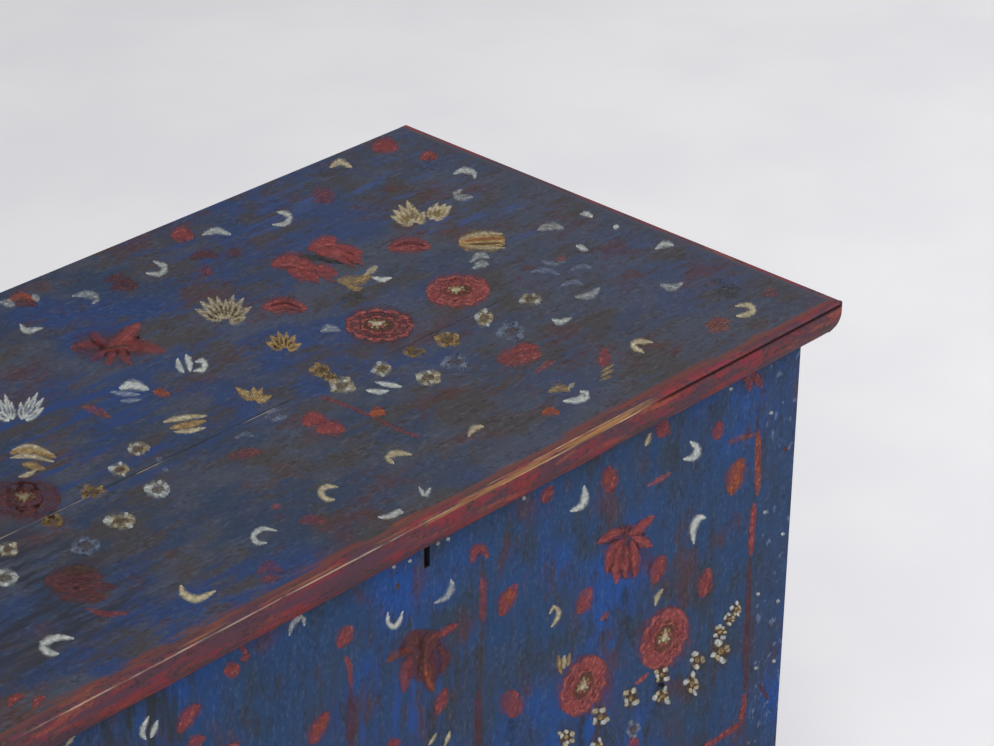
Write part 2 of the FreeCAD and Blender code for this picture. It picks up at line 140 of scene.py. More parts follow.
class Shader:
    """One material's nodes, written as expressions."""

    def __init__(self, name: str) -> None:
        """Starts a material with a Principled shader on Object coordinates.

        Args:
            name: the material's name.
        """
        self.material = bpy.data.materials.new(name)
        self.material.use_nodes = True
        self.tree = self.material.node_tree
        self.tree.nodes.clear()
        self.surface = self.node("ShaderNodeBsdfPrincipled")
        output = self.node("ShaderNodeOutputMaterial")
        self.tree.links.new(self.surface.outputs[0], output.inputs[0])
        self.place = self.node("ShaderNodeTexCoord").outputs["Object"]

    def node(self, kind: str, settings: dict | None = None, inputs: dict | None = None) -> bpy.types.Node:
        """Adds a node.

        Args:
            kind: the node's type.
            settings: its properties, set first.
            inputs: a value, a link or a Tone for each socket, by name or index.
        Returns:
            The node.
        """
        made = self.tree.nodes.new(kind)
        for name, value in (settings or {}).items():
            setattr(made, name, value)
        for key, value in (inputs or {}).items():
            self.feed(made.inputs[key], value)
        return made

    def feed(self, socket: bpy.types.NodeSocket, value: object) -> None:
        """Links a Tone or a socket to a socket, or sets a plain value on it.

        Args:
            socket: the node's input.
            value: what it gets.
        """
        if isinstance(value, Tone):
            self.tree.links.new(value.socket, socket)
        elif isinstance(value, bpy.types.NodeSocket):
            self.tree.links.new(value, socket)
        else:
            socket.default_value = value

    def noise(self, stretch: Triple, detail: float = 4.0, roughness: float = 0.5, seed: float = 0.0,
              place: bpy.types.NodeSocket | None = None) -> Tone:
        """Noise whose cells are 1/stretch metres along each axis.

        Args:
            stretch: cells per metre along X, Y and Z.
            detail: octaves.
            roughness: how strong the finer octaves are.
            seed: shifts the pattern.
            place: coordinates, if not the object's own.
        Returns:
            The noise, from about 0 to 1.
        """
        moved = self.node("ShaderNodeVectorMath", {"operation": "MULTIPLY_ADD"},
                          {0: place or self.place, 1: stretch, 2: (seed, seed * 0.7, seed * 1.3)})
        made = self.node("ShaderNodeTexNoise", None,
                         {"Vector": moved.outputs[0], "Scale": 1.0, "Detail": detail,
                          "Roughness": roughness})
        return Tone(self, made.outputs[0])

    def axis(self, axis: Axis, place: bpy.types.NodeSocket | None = None) -> Tone:
        """One coordinate over the surface."""
        split = self.node("ShaderNodeSeparateXYZ", None, {0: place or self.place})
        return Tone(self, split.outputs[axis.value])

    def attribute(self, name: str) -> bpy.types.NodeSocket:
        """A vector that the mesh carries."""
        return self.node("ShaderNodeAttribute", {"attribute_name": name}).outputs["Vector"]

    def mix(self, share: Number, first: object, second: object) -> bpy.types.NodeSocket:
        """A colour between two colours."""
        return self.node("ShaderNodeMix", {"data_type": "RGBA"}, {0: share, 6: first, 7: second}).outputs[2]

    def dress(self, colour: object, roughness: Number, height: Tone | None = None, depth: float = 0.3 * MM,
              metallic: Number = 0.0, specular: float = 0.4,
              alpha: Tone | None = None) -> bpy.types.Material:
        """Feeds the Principled shader and gives the finished material.

        Args:
            colour: the base colour.
            roughness: from 0, polished, to 1.
            height: relief for a bump, if any.
            depth: how deep that relief is, in metres.
            metallic: 0 for paint and wood.
            specular: the shader's specular level.
            alpha: how much paint is left, if it is worn through.
        Returns:
            The material.
        """
        inputs = self.surface.inputs
        self.feed(inputs["Base Color"], colour)
        self.feed(inputs["Roughness"], roughness)
        self.feed(inputs["Metallic"], metallic)
        inputs["Specular IOR Level"].default_value = specular
        if alpha is not None:
            self.feed(inputs["Alpha"], alpha)
        if height is not None:
            bump = self.node("ShaderNodeBump", None, {"Strength": 1.0, "Distance": depth, "Height": height})
            self.feed(inputs["Normal"], bump.outputs[0])
        return self.material


# Dark specks of grime, and in the keyhole slot painted shade.
DARK_GRIME_AND_SHADE = paint(38, 36, 36)
SPAN_FADE = 20 * MM


@dataclass(frozen=True)
class EdgeTint:
    """A line or band along an edge of the chest where the paint has another colour, is rubbed away, or is
    darkened as painted shade in a crack.
    """
    axis: Axis
    at: float
    reach: float
    tone: Colour
    amount: float
    corner: Limit | None = None
    span: Limit | None = None

    def mask(self, s: Shader, breaks: Tone) -> Tone:
        """How strongly it shows.

        Args:
            s: the material's nodes.
            breaks: a noise that breaks it up.
        Returns:
            From 0, nothing, to 1.
        """
        share = (1.0 - abs(s.axis(self.axis) - self.at) * (1.0 / self.reach)).band(0.05, 0.85)
        if self.corner:
            axis, at, reach = self.corner
            share = share * (1.0 - abs(s.axis(axis) - at) * (1.0 / reach)).band(0.05, 0.6)
        if self.span:
            axis, start, end = self.span
            place = s.axis(axis)
            share = share * place.band(start - SPAN_FADE, start + SPAN_FADE)
            share = share * place.band(end + SPAN_FADE, end - SPAN_FADE)
        return share * breaks.band(0.72 - 0.6 * self.amount, 0.90 - 0.6 * self.amount)


def both_ends(tint: EdgeTint) -> tuple[EdgeTint, EdgeTint]:
    """A tint and the same at the chest's other end."""
    return tint, replace(tint, at=-tint.at)


@dataclass(frozen=True)
class Grained:
    """A finish that runs along one axis, as the wood's grain or the brush does."""
    name: str
    grain: Axis

    def stretched(self, along: float, across: float) -> Triple:
        """Cells per metre along the grain and across it."""
        return tuple(along if axis is self.grain else across for axis in Axis)

    def rubbed(self, s: Shader, colour: object, edges: Sequence[EdgeTint], cells: Triple,
               seed: float) -> object:
        """Lays the tints of its edges over a colour: other paint and rubbed wear, and painted shade where a
        tint stands for it.

        Args:
            s: the material's nodes.
            colour: the colour below.
            edges: the tints, in order.
            cells: cells per metre of the noise that breaks them up.
            seed: shifts that noise.
        Returns:
            The colour with the tints.
        """
        for number, edge in enumerate(edges):
            breaks = s.noise(cells, 4.0, 0.62, seed + number)
            colour = s.mix(edge.mask(s, breaks), colour, edge.tone)
        return colour


@dataclass(frozen=True)
class BoardPaint(Grained):
    """Old blue paint on a board, brushed along one axis, dulled and rubbed through in streaks; where asked,
    painted sheen greys it towards the right and the front.
    """
    deep: Colour
    bright: Colour
    dull: Colour
    olive: Colour
    dulled: float
    dirtied: float
    gloss: float
    edges: tuple[EdgeTint, ...] = ()
    strip_start: float = 0.0
    fades_to_right: bool = False
    seed: float = 0.0
    rust: Colour = paint(74, 46, 44)
    scuffed: Colour = paint(96, 108, 128)
    strip_tone: Colour = paint(46, 60, 88)
    strip_fleck: Colour = paint(112, 128, 156)

    def material(self) -> bpy.types.Material:
        """The paint's nodes: bright, dull and dirty patches, painted sheen where asked, brush marks, grain
        and rubbed edges.

        Returns:
            The material.
        """
        s = Shader(self.name)
        brush = s.noise(self.stretched(34.0, 130.0), 5.0, 0.65, self.seed)
        clouds = s.noise((5.5, 5.5, 5.5), 2.0, 0.55, self.seed + 1.9)
        patches = s.noise(self.stretched(8.0, 13.0), 3.0, 0.6, self.seed + 7.7)
        stains = s.noise(self.stretched(11.0, 17.0), 3.0, 0.65, self.seed + 11.0)
        ghosts = s.noise(self.stretched(15.0, 19.0), 3.0, 0.6, self.seed + 15.0)
        grain = s.noise(self.stretched(190.0, 320.0), 3.0, 0.6, self.seed)
        scuffs = s.noise(self.stretched(26.0, 230.0), 3.0, 0.6, self.seed + 5.3)

        colour = s.mix((clouds * 0.85 + brush * 0.2 - 0.05).band(0.44, 0.58), self.deep, self.bright)
        worn = (patches * 0.85 + brush * 0.3 - 0.1).band(0.44, 0.60)
        # Painted sheen: towards the right and the front the dull grey takes over. It is added to worn, which
        # then carries both wear and painted sheen.
        if self.fades_to_right:
            right = s.axis(Axis.X) * 0.55 - s.axis(Axis.Y) * 0.35
            worn = (worn + right.band(-0.20, 0.34) * 0.75).band(0.0, 1.15)
        colour = s.mix(worn * self.dulled, colour, self.dull)
        dirty = (stains * 0.8 + brush * 0.35 - 0.07).band(0.47, 0.62)
        colour = s.mix(dirty * self.dirtied, colour, self.olive)
        colour = s.mix((ghosts * 0.8 + brush * 0.3).band(0.57, 0.72) * 0.6, colour, self.rust)
        if self.strip_start:
            strip = abs(s.axis(Axis.X)).band(self.strip_start, self.strip_start + 12 * MM)
            patchy = (patches * 0.6 + grain * 0.5).band(0.42, 0.66)
            colour = s.mix(strip * patchy * 0.5, colour, self.strip_tone)
            flecks = s.noise((120.0, 120.0, 95.0), 2.0, 0.5, 4.4).band(0.62, 0.70)
            colour = s.mix(strip * flecks * 0.4, colour, self.strip_fleck)
        colour = s.mix((grain * 0.7 + brush * 0.4).band(0.56, 0.74) * 0.55, colour, DARK_GRIME_AND_SHADE)
        colour = s.mix((grain * 0.7 + scuffs * 0.4).band(0.54, 0.34) * 0.22, colour, self.scuffed)
        colour = self.rubbed(s, colour, self.edges, self.stretched(16.0, 90.0), 3.0)
        height = brush * 0.5 + stains * 0.35 + grain * 0.3
        return s.dress(colour, self.gloss + brush * 0.16 + worn * 0.1, height, 0.3 * MM, specular=0.1)


@dataclass(frozen=True)
class TrimPaint(Grained):
    """Red paint on a moulding, brushed along it, with orange and purple streaks, rubbed arrises and, where a
    tint gives it, painted shade in a crack.
    """
    edges: tuple[EdgeTint, ...] = ()
    red: Colour = paint(114, 46, 48)
    crimson: Colour = paint(118, 40, 56)
    purple: Colour = paint(68, 50, 62)
    orange: Colour = paint(142, 72, 54)
    brown: Colour = paint(80, 60, 54)

    def material(self) -> bpy.types.Material:
        """The trim's nodes: patches of several reds, streaks, grime, rubbed arrises and the painted shade of
        any crack tint.

        Returns:
            The material.
        """
        s = Shader(self.name)
        bands = s.noise(self.stretched(14.0, 80.0), 4.0, 0.6, 2.2)
        brush = s.noise(self.stretched(60.0, 260.0), 4.0, 0.6, 6.1)
        patches = s.noise(self.stretched(22.0, 40.0), 4.0, 0.62, 1.4)
        stains = s.noise(self.stretched(16.0, 46.0), 4.0, 0.65, 9.2)
        specks = s.noise((300.0, 300.0, 300.0), 3.0, 0.6, 3.3)
        colour = s.mix(patches.band(0.44, 0.60), self.red, self.crimson)
        colour = s.mix((stains * 0.8 + brush * 0.25).band(0.44, 0.58) * 0.9, colour, self.purple)
        colour = s.mix((bands * 0.8 + brush * 0.3).band(0.58, 0.70) * 0.7, colour, self.orange)
        colour = s.mix((brush * 0.6 + patches * 0.5).band(0.54, 0.68) * 0.8, colour, self.brown)
        colour = s.mix((specks * 0.7 + brush * 0.4).band(0.54, 0.70) * 0.6, colour, DARK_GRIME_AND_SHADE)
        colour = self.rubbed(s, colour, self.edges, self.stretched(12.0, 110.0), 5.0)
        height = brush * 0.6 + patches * 0.3 + specks * 0.3
        return s.dress(colour, 0.55 + brush * 0.18, height, 0.4 * MM, specular=0.1)


@dataclass(frozen=True)
class BareBoard(Grained):
    """Unpainted softwood, darkened by age, with its grain along one axis; in near-black tones it is the
    painted shade inside the keyhole slot.
    """
    pale: Colour = paint(178, 140, 94)
    ring: Colour = paint(128, 90, 54)
    stain: Colour = paint(86, 62, 42)

    def material(self) -> bpy.types.Material:
        """The wood's nodes: growth rings, fibres and stains.

        Returns:
            The material.
        """
        s = Shader(self.name)
        growth = s.noise(self.stretched(2.2, 70.0), 3.0, 0.5, 5.0)
        fibres = s.noise(self.stretched(9.0, 420.0), 3.0, 0.6, 2.0)
        stains = s.noise((5.0, 5.0, 5.0), 5.0, 0.6, 8.0)
        colour = s.mix((growth * 0.8 + fibres * 0.35).band(0.40, 0.78) * 0.8, self.pale, self.ring)
        colour = s.mix(stains.band(0.48, 0.76) * 0.55, colour, self.stain)
        return s.dress(colour, 0.62 + fibres * 0.2, growth * 0.5 + fibres * 0.5, 0.3 * MM)


@dataclass(frozen=True)
class ForgedIron:
    """Dark hammered iron with a little rust."""
    name: str = "forged_iron"
    black: Colour = paint(46, 43, 42)
    grey: Colour = paint(84, 80, 78)
    rust: Colour = paint(96, 58, 38)

    def material(self) -> bpy.types.Material:
        """The iron's nodes: hammer marks, scale and rust.

        Returns:
            The material.
        """
        s = Shader(self.name)
        hammered = s.noise((90.0, 90.0, 90.0), 3.0, 0.5)
        scale = s.noise((420.0, 420.0, 420.0), 4.0, 0.6, 3.0)
        rusted = s.noise((38.0, 38.0, 38.0), 6.0, 0.68, 9.0).band(0.52, 0.68)
        colour = s.mix(hammered.band(0.35, 0.7), self.black, self.grey)
        colour = s.mix(rusted * 0.75, colour, self.rust)
        return s.dress(colour, 0.45 + scale * 0.25 + rusted * 0.15, hammered + scale * 0.35, 0.5 * MM,
                       0.85 - rusted * 0.7)


@dataclass(frozen=True)
class BrushPaint:
    """One colour of the flower painter's: thin strokes, darker where they lap, worn off in places."""
    name: str
    body: Colour
    shade: Colour
    light: Colour
    seed: float

    def material(self) -> bpy.types.Material:
        """The stroke's nodes. The mesh's stroke attribute is (along, across, faded); across is -1 to 1.

        Returns:
            The material.
        """
        s = Shader(self.name)
        stroke = s.attribute("stroke")
        hairs = s.noise((3.0, 7.0, 0.0), 4.0, 0.65, self.seed, stroke)
        blots = s.noise((60.0, 60.0, 60.0), 4.0, 0.62, self.seed + 2.0)
        chips = s.noise((190.0, 190.0, 190.0), 2.0, 0.55, self.seed + 4.0)
        crust = s.noise((330.0, 330.0, 330.0), 1.0, 0.5, self.seed + 6.0)
        rim = 1.0 - abs(s.axis(Axis.Y, stroke))
        colour = s.mix((hairs * 0.7 + blots * 0.5).band(0.46, 0.74), self.body, self.shade)
        colour = s.mix((chips * 0.5 + hairs * 0.6).band(0.54, 0.72) * 0.8, colour, self.light)
        colour = s.mix((chips * 0.6 + crust * 0.5).band(0.56, 0.72) * 0.5, colour, DARK_GRIME_AND_SHADE)
        faded = s.axis(Axis.Z, stroke)
        held = chips * 0.3 + blots * 0.3 + hairs * 0.4
        soft = (rim + chips * 0.5 - 0.25).band(0.04, 0.8)
        alpha = held.band(faded * 0.36 + 0.12, faded * 0.36 + 0.56) * soft * (0.97 - faded * 0.45)
        return s.dress(colour, 0.6 + blots * 0.15, hairs * 0.4 + chips * 0.5, 0.08 * MM, 0.0, 0.12, alpha)


def uneven(place: Vector, cells: float, seed: float) -> float:
    """Smooth noise from 0 to 1 at a place, the same on every run."""
    return 0.5 + 0.5 * noise.noise(place * cells + Vector((seed, seed * 2.0, -seed)))


def cut_across(bm: bmesh.types.BMesh, axis: Vector, places: Iterable[Vector]) -> None:
    """Cuts a mesh with planes square to an axis.

    Args:
        bm: the mesh.
        axis: the planes' normal.
        places: a point of each plane.
    """
    for place in places:
        geometry = bm.verts[:] + bm.edges[:] + bm.faces[:]
        bmesh.ops.bisect_plane(bm, geom=geometry, plane_co=place, plane_no=axis)


def add_box(bm: bmesh.types.BMesh, low: Vector, high: Vector) -> None:
    """Adds a box between two corners to a mesh."""
    matrix = Matrix.Translation((low + high) / 2) @ Matrix.Diagonal((*(high - low), 1.0))
    bmesh.ops.create_cube(bm, size=1.0, matrix=matrix)


def add_object(name: str, data: bpy.types.ID) -> bpy.types.Object:
    """Puts a new object in the scene.

    Args:
        name: its name.
        data: its mesh, light or camera.
    Returns:
        The object.
    """
    made = bpy.data.objects.new(name, data)
    bpy.context.scene.collection.objects.link(made)
    return made


def finished_mesh(bm: bmesh.types.BMesh, name: str) -> bpy.types.Mesh:
    """Turns a bmesh into a mesh.

    Args:
        bm: the bmesh, which is freed.
        name: the mesh's name.
    Returns:
        The mesh.
    """
    mesh = bpy.data.meshes.new(name)
    bm.to_mesh(mesh)
    bm.free()
    return mesh


def make_piece(bm: bmesh.types.BMesh, name: str, body: str, materials: Sequence[bpy.types.Material],
               smooth: float = 0.0) -> bpy.types.Object:
    """Turns a mesh into a piece that rides on a body.

    Args:
        bm: the mesh, which is freed.
        name: the piece's name.
        body: the CAD body it moves with.
        materials: its material slots.
        smooth: faces that meet at less than this angle, in degrees, are shaded as one; 0 leaves all flat.
    Returns:
        The piece.
    """
    mesh = finished_mesh(bm, name)
    for material in materials:
        mesh.materials.append(material)
    if smooth:
        mesh.shade_smooth()
        mesh.set_sharp_from_angle(angle=math.radians(smooth))
    made = add_object(name, mesh)
    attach(made, body)
    LOG.info("%s: %d faces, rides on %s", name, len(mesh.polygons), body)
    return made


@dataclass
class Plank:
    """A board that stands for a CAD node: rounded arrises, edges that waver, and the node's own openings."""
    node: str
    body: str
    painted: bpy.types.Material
    bare: bpy.types.Material
    bare_sides: tuple[Triple, ...]
    slot: str
    trim: tuple[Triple, Triple] = ((0.0, 0.0, 0.0), (0.0, 0.0, 0.0))
    arris: float = 1.6 * MM
    pitch: float = 45 * MM
    waver: float = 0.5 * MM
    waver_cells: float = 9.0
    sharp: float = 1.0
    facing: float = 0.6
    openings: list[tuple[Vector, Vector]] = field(default_factory=list)
    walls: bpy.types.Material | None = None

    def build(self) -> None:
        """Makes the board in the node's box, in the node's place."""
        low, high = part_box(self.node)
        low = low + Vector(self.trim[0])
        high = high + Vector(self.trim[1])
        size = high - low
        bm = bmesh.new()
        add_box(bm, low, high)
        flat = [axis for axis in range(3) if axis != min(range(3), key=lambda i: size[i])]
        for axis in flat:
            count = math.ceil(size[axis] / self.pitch)
            step = Vector(tuple(float(i == axis) for i in range(3)))
            cut_across(bm, step, [low + step * (size[axis] * i / count) for i in range(1, count)])
        corners = [edge for edge in bm.edges if edge.calc_face_angle(0.0) > self.sharp]
        bmesh.ops.bevel(bm, geom=corners, offset=self.arris, offset_type="OFFSET", segments=3, profile=0.5,
                        affect="EDGES", material=-1)
        for vertex in bm.verts:
            self.wear(vertex, low, high, flat)
        bmesh.ops.recalc_face_normals(bm, faces=bm.faces[:])
        for face in bm.faces:
            bare = any(face.normal.dot(Vector(side)) > self.facing for side in self.bare_sides)
            face.material_index = int(bare)
        made = make_piece(bm, self.node + "_worn", self.body, (self.painted, self.bare))
        if self.openings:
            self.open_up(made)
        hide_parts(self.node)

    def wear(self, vertex: bmesh.types.BMVert, low: Vector, high: Vector, flat: Sequence[int]) -> None:
        """Moves a point near an edge inwards by a little.

        Args:
            vertex: the point.
            low: the board's low corner.
            high: its high corner.
            flat: the axes that its broad faces run along.
        """
        place = vertex.co.copy()
        for axis in flat:
            shift = self.waver * uneven(place, self.waver_cells, 2.0 + axis)
            if place[axis] - low[axis] < 2 * self.arris:
                vertex.co[axis] += shift
            elif high[axis] - place[axis] < 2 * self.arris:
                vertex.co[axis] -= shift

    def open_up(self, made: bpy.types.Object) -> None:
        """Cuts the openings out of the finished board.

        Args:
            made: the board.
        """
        cutters = bmesh.new()
        for low, high in self.openings:
            add_box(cutters, low, high)
        tool = add_object("openings", finished_mesh(cutters, "openings"))
        cut = made.modifiers.new("openings", "BOOLEAN")
        cut.object = tool
        cut.solver = "EXACT"
        bpy.context.view_layer.update()
        result = bpy.data.meshes.new_from_object(made.evaluated_get(bpy.context.evaluated_depsgraph_get()))
        made.modifiers.clear()
        made.data = result
        bpy.data.objects.remove(tool)
        result.materials.append(self.walls)
        for polygon in result.polygons:
            for low, high in self.openings:
                points = [result.vertices[index].co for index in polygon.vertices]
                if all(low[i] - NEAR < p[i] < high[i] + NEAR for p in points for i in range(3)):
                    polygon.material_index = len(result.materials) - 1


@dataclass(frozen=True)
class TrimProfile:
    """A moulding's section, as (inset from its outer face, drop from its top)."""
    thickness: float
    height: float
    arris: float
    curve_height: float
    curve_inset: float
    curve_on_top: bool
    quirk: float = 0.0
    steps: int = 9
    arris_steps: int = 4

    def points(self) -> list[tuple[float, float]]:
        """The outline, from the inner top corner round the outer face to the inner bottom corner.

        Returns:
            Its points.
        """
        radius = (self.curve_inset ** 2 + self.curve_height ** 2) / (2 * self.curve_inset)
        sweep = math.asin(self.curve_height / radius)
        turns = [sweep * i / self.steps for i in range(self.steps + 1)]
        curve = [(radius * (1 - math.cos(turn)), radius * math.sin(turn)) for turn in turns]
        if self.curve_on_top:
            outer = [(inset, self.curve_height - rise) for inset, rise in reversed(curve)]
            outer.append((0.0, self.height))
        else:
            quarter = [math.pi / 2 * i / self.arris_steps for i in range(self.arris_steps + 1)]
            outer = [(self.arris * (1 - math.sin(q)), self.arris * (1 - math.cos(q))) for q in quarter]
            flat = self.height - self.curve_height
            if self.quirk:
                top = self.arris + 0.4 * MM
                groove = (0.0, 0.0), (self.quirk, 0.3 * MM), (self.quirk, 2.6 * MM), (0.0, 3.2 * MM)
                outer += [(inset, top + drop) for inset, drop in groove]
            outer += [(inset, flat + rise) for inset, rise in curve]
        return [(self.thickness, 0.0)] + outer + [(self.thickness, self.height)]


@dataclass
class TrimStrip:
    """A length of moulding that stands for a CAD node, mitred where it meets the next, a little uneven."""
    node: str
    body: str
    profile: TrimProfile
    start: Vector
    end: Vector
    inward: Vector
    finish: bpy.types.Material
    mitre_start: bool = True
    mitre_end: bool = True
    waver: float = 0.5 * MM
    ragged: float = 1.0 * MM
    pitch: float = 22 * MM
    shrunk_from: float = 0.0
    shrunk_over: float = 0.15
    least_quirk: float = 0.05
    quirk_limit: float = 8 * MM
    inner_skin: float = 1 * MM
    frayed_from: float = 0.8
    waver_cells: float = 14.0
    fray_cells: float = 11.0
    smooth: float = 28.0
    corner: float = 0.0

    def mitres(self) -> list[tuple[Vector, Vector]]:
        """Where the strip is mitred.

        Returns:
            Each such corner, and the way from it along the strip.
        """
        along = (self.end - self.start).normalized()
        ends = (self.mitre_start, self.start, along), (self.mitre_end, self.end, -along)
        return [(corner, way) for wanted, corner, way in ends if wanted]

    def build(self) -> None:
        """Makes the strip along its outer top arris, in the node's place."""
        along = (self.end - self.start).normalized()
        length = (self.end - self.start).length
        bm = bmesh.new()
        points = [self.start + self.inward * inset - UP * drop for inset, drop in self.profile.points()]
        face = bm.faces.new([bm.verts.new(point) for point in points])
        pulled = bmesh.ops.extrude_face_region(bm, geom=[face])
        moved = [item for item in pulled["geom"] if isinstance(item, bmesh.types.BMVert)]
        bmesh.ops.translate(bm, verts=moved, vec=along * length)
        for corner, way in self.mitres():
            geometry = bm.verts[:] + bm.edges[:] + bm.faces[:]
            bmesh.ops.bisect_plane(bm, geom=geometry, plane_co=corner, plane_no=self.inward - way,
                                   clear_outer=True)
            bmesh.ops.holes_fill(bm, edges=[edge for edge in bm.edges if edge.is_boundary])
        count = math.ceil(length / self.pitch)
        cut_across(bm, along, [self.start + along * (length * i / count) for i in range(1, count)])
        for corner, way in self.mitres() if self.corner else ():
            cut_across(bm, along, [corner + way * (self.corner * part) for part in (0.5, 1.0)])
            for vertex in bm.verts:
                self.round_corner(vertex, corner, way)
        for vertex in bm.verts:
            self.wear(vertex)
        bmesh.ops.recalc_face_normals(bm, faces=bm.faces[:])
        made = make_piece(bm, self.node + "_worn", self.body, (self.finish,), self.smooth)
        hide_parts(self.node)

    def round_corner(self, vertex: bmesh.types.BMVert, corner: Vector, way: Vector) -> None:
        """Moves a point near a mitre inwards, so that the corner is rounded in plan.

        Args:
            vertex: the point, which is left alone if it lies on the inner face or far from the mitre.
            corner: the sharp corner at the strip's end.
            way: the direction from that corner along the strip.
        """
        inset = (vertex.co - self.start).dot(self.inward)
        beyond = max(0.0, (vertex.co - corner).dot(way) - inset)
        if beyond >= self.corner or inset > self.profile.thickness - self.inner_skin:
            return
        room = self.corner * (1 - math.sqrt(0.5)) * (1 - inset / self.profile.thickness)
        arc = self.corner - math.sqrt(self.corner ** 2 - (self.corner - beyond) ** 2)
        pull = min(arc, room)
        vertex.co += self.inward * pull + way * max(0.0, pull - beyond)

    def wear(self, vertex: bmesh.types.BMVert) -> None:
        """Moves a point of the outer face inwards by a little, and frays the lower edge.

        Args:
            vertex: the point.
        """
        quirk = self.profile.quirk
        inset = (vertex.co - self.start).dot(self.inward)
        drop = self.start.z - vertex.co.z
        if quirk and abs(inset - quirk) < NEAR and self.profile.arris < drop < self.quirk_limit:
            run = (vertex.co - self.start).dot((self.end - self.start).normalized())
            depth = max(self.least_quirk, min(1.0, (run - self.shrunk_from) / self.shrunk_over))
            vertex.co += self.inward * (quirk * (depth - 1.0))
        if inset < self.profile.thickness - self.inner_skin:
            vertex.co += self.inward * (self.waver * uneven(vertex.co, self.waver_cells, 4.0))
        if drop > self.frayed_from * self.profile.height and not self.profile.curve_on_top:
            below = Vector((vertex.co.x, vertex.co.y, 0.0))
            vertex.co.z += self.ragged * uneven(below, self.fray_cells, 7.0)


def sides(half: Vector) -> dict[str, tuple[Vector, Vector, Vector]]:
    """The four sides of a rectangle round the chest.

    Args:
        half: half its size along X and Y, and its height.
    Returns:
        Each side's start, end and inward direction, by its name.
    """
    corners = [Vector((x * half.x, y * half.y, half.z)) for x, y in ((-1, -1), (1, -1), (1, 1), (-1, 1))]
    inward = {"front": (0, 1, 0), "right": (-1, 0, 0), "back": (0, -1, 0), "left": (1, 0, 0)}
    ends = zip(corners, corners[1:] + corners[:1])
    return {name: (start, end, Vector(inward[name])) for name, (start, end) in zip(inward, ends)}


def sunk_copy(node: str, body: str, half: Vector, finish: bpy.types.Material) -> None:
    """Replaces pegs by copies whose outer ends lie below the worn face.

    Args:
        node: the CAD node.
        body: the body it belongs to.
        half: how far from the middle along X and Y the moulding's faces lie.
        finish: its material.
    """
    limit = half - Vector((PEG_SUNK, PEG_SUNK, 0.0))
    bm = bmesh.new()
    bm.from_mesh(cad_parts[node].data)
    bmesh.ops.remove_doubles(bm, verts=bm.verts[:], dist=0.01 * MM)
    for vertex in bm.verts:
        vertex.co.x = max(-limit.x, min(limit.x, vertex.co.x))
        vertex.co.y = max(-limit.y, min(limit.y, vertex.co.y))
    made = make_piece(bm, node + "_sunk", body, (finish,))
    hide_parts(node)


@dataclass(frozen=True)
class PhotoView:
    """The camera that took the photograph, and where a point that it shows lies on the chest."""
    place: Triple = (-1.691, -1.913, 1.998)
    pitch: float = math.radians(28.42)
    yaw: float = math.radians(47.11)
    roll: float = math.radians(0.767)
    focal: float = 3249.0
    width: float = 994.0
    height: float = 746.0
    sensor: float = 36.0

    def axes(self) -> tuple[Vector, Vector, Vector]:
        """The camera's own directions.

        Returns:
            The image's right and up, and the way the camera looks.
        """
        ahead = Vector((math.sin(self.yaw) * math.cos(self.pitch),
                        math.cos(self.yaw) * math.cos(self.pitch), -math.sin(self.pitch)))
        level = Vector((math.cos(self.yaw), -math.sin(self.yaw), 0.0))
        upright = level.cross(ahead)
        right = math.cos(self.roll) * level + math.sin(self.roll) * upright
        up = math.cos(self.roll) * upright - math.sin(self.roll) * level
        return right, up, ahead

    def meets(self, pixel: Pixel, point: Vector, normal: Vector) -> Vector:
        """Where the line of sight through a pixel meets a plane.

        Args:
            pixel: across and down from the photograph's upper left corner.
            point: a point of the plane.
            normal: the plane's normal.
        Returns:
            The place on the plane.
        """
        right, up, ahead = self.axes()
        across = (pixel[0] - self.width / 2) / self.focal
        down = (pixel[1] - self.height / 2) / self.focal
        sight = ahead + right * across - up * down
        eye = Vector(self.place)
        return eye + sight * ((point - eye).dot(normal) / sight.dot(normal))

    def sees(self, place: Vector) -> bool:
        """Whether a place lies inside the photograph's frame.

        Args:
            place: a point of the chest.
        Returns:
            True if it does.
        """
        right, up, ahead = self.axes()
        offset = place - Vector(self.place)
        depth = offset.dot(ahead)
        across = self.focal * offset.dot(right) / depth
        rise = self.focal * offset.dot(up) / depth
        return abs(across) < self.width / 2 and abs(rise) < self.height / 2

    def camera(self) -> None:
        """Makes the scene's camera."""
        right, up, ahead = self.axes()
        data = bpy.data.cameras.new("photo_camera")
        data.sensor_width = self.sensor
        data.lens = self.focal * self.sensor / self.width
        made = add_object("photo_camera", data)
        turn = Matrix((right, up, -ahead)).transposed().to_4x4()
        made.matrix_world = Matrix.Translation(Vector(self.place)) @ turn
        bpy.context.scene.camera = made


@dataclass(frozen=True)
class SoftLight:
    """A square soft light aimed at the chest's middle."""
    name: str
    place: Triple
    size: float
    power: float
    aim: Triple = (0.0, 0.0, 0.4)

    def build(self) -> None:
        """Puts the light in the scene."""
        data = bpy.data.lights.new(self.name, "AREA")
        data.size = self.size
        data.energy = self.power
        made = add_object(self.name, data)
        made.location = self.place
        way = Vector(self.aim) - Vector(self.place)
        made.rotation_euler = way.to_track_quat("-Z", "Y").to_euler()


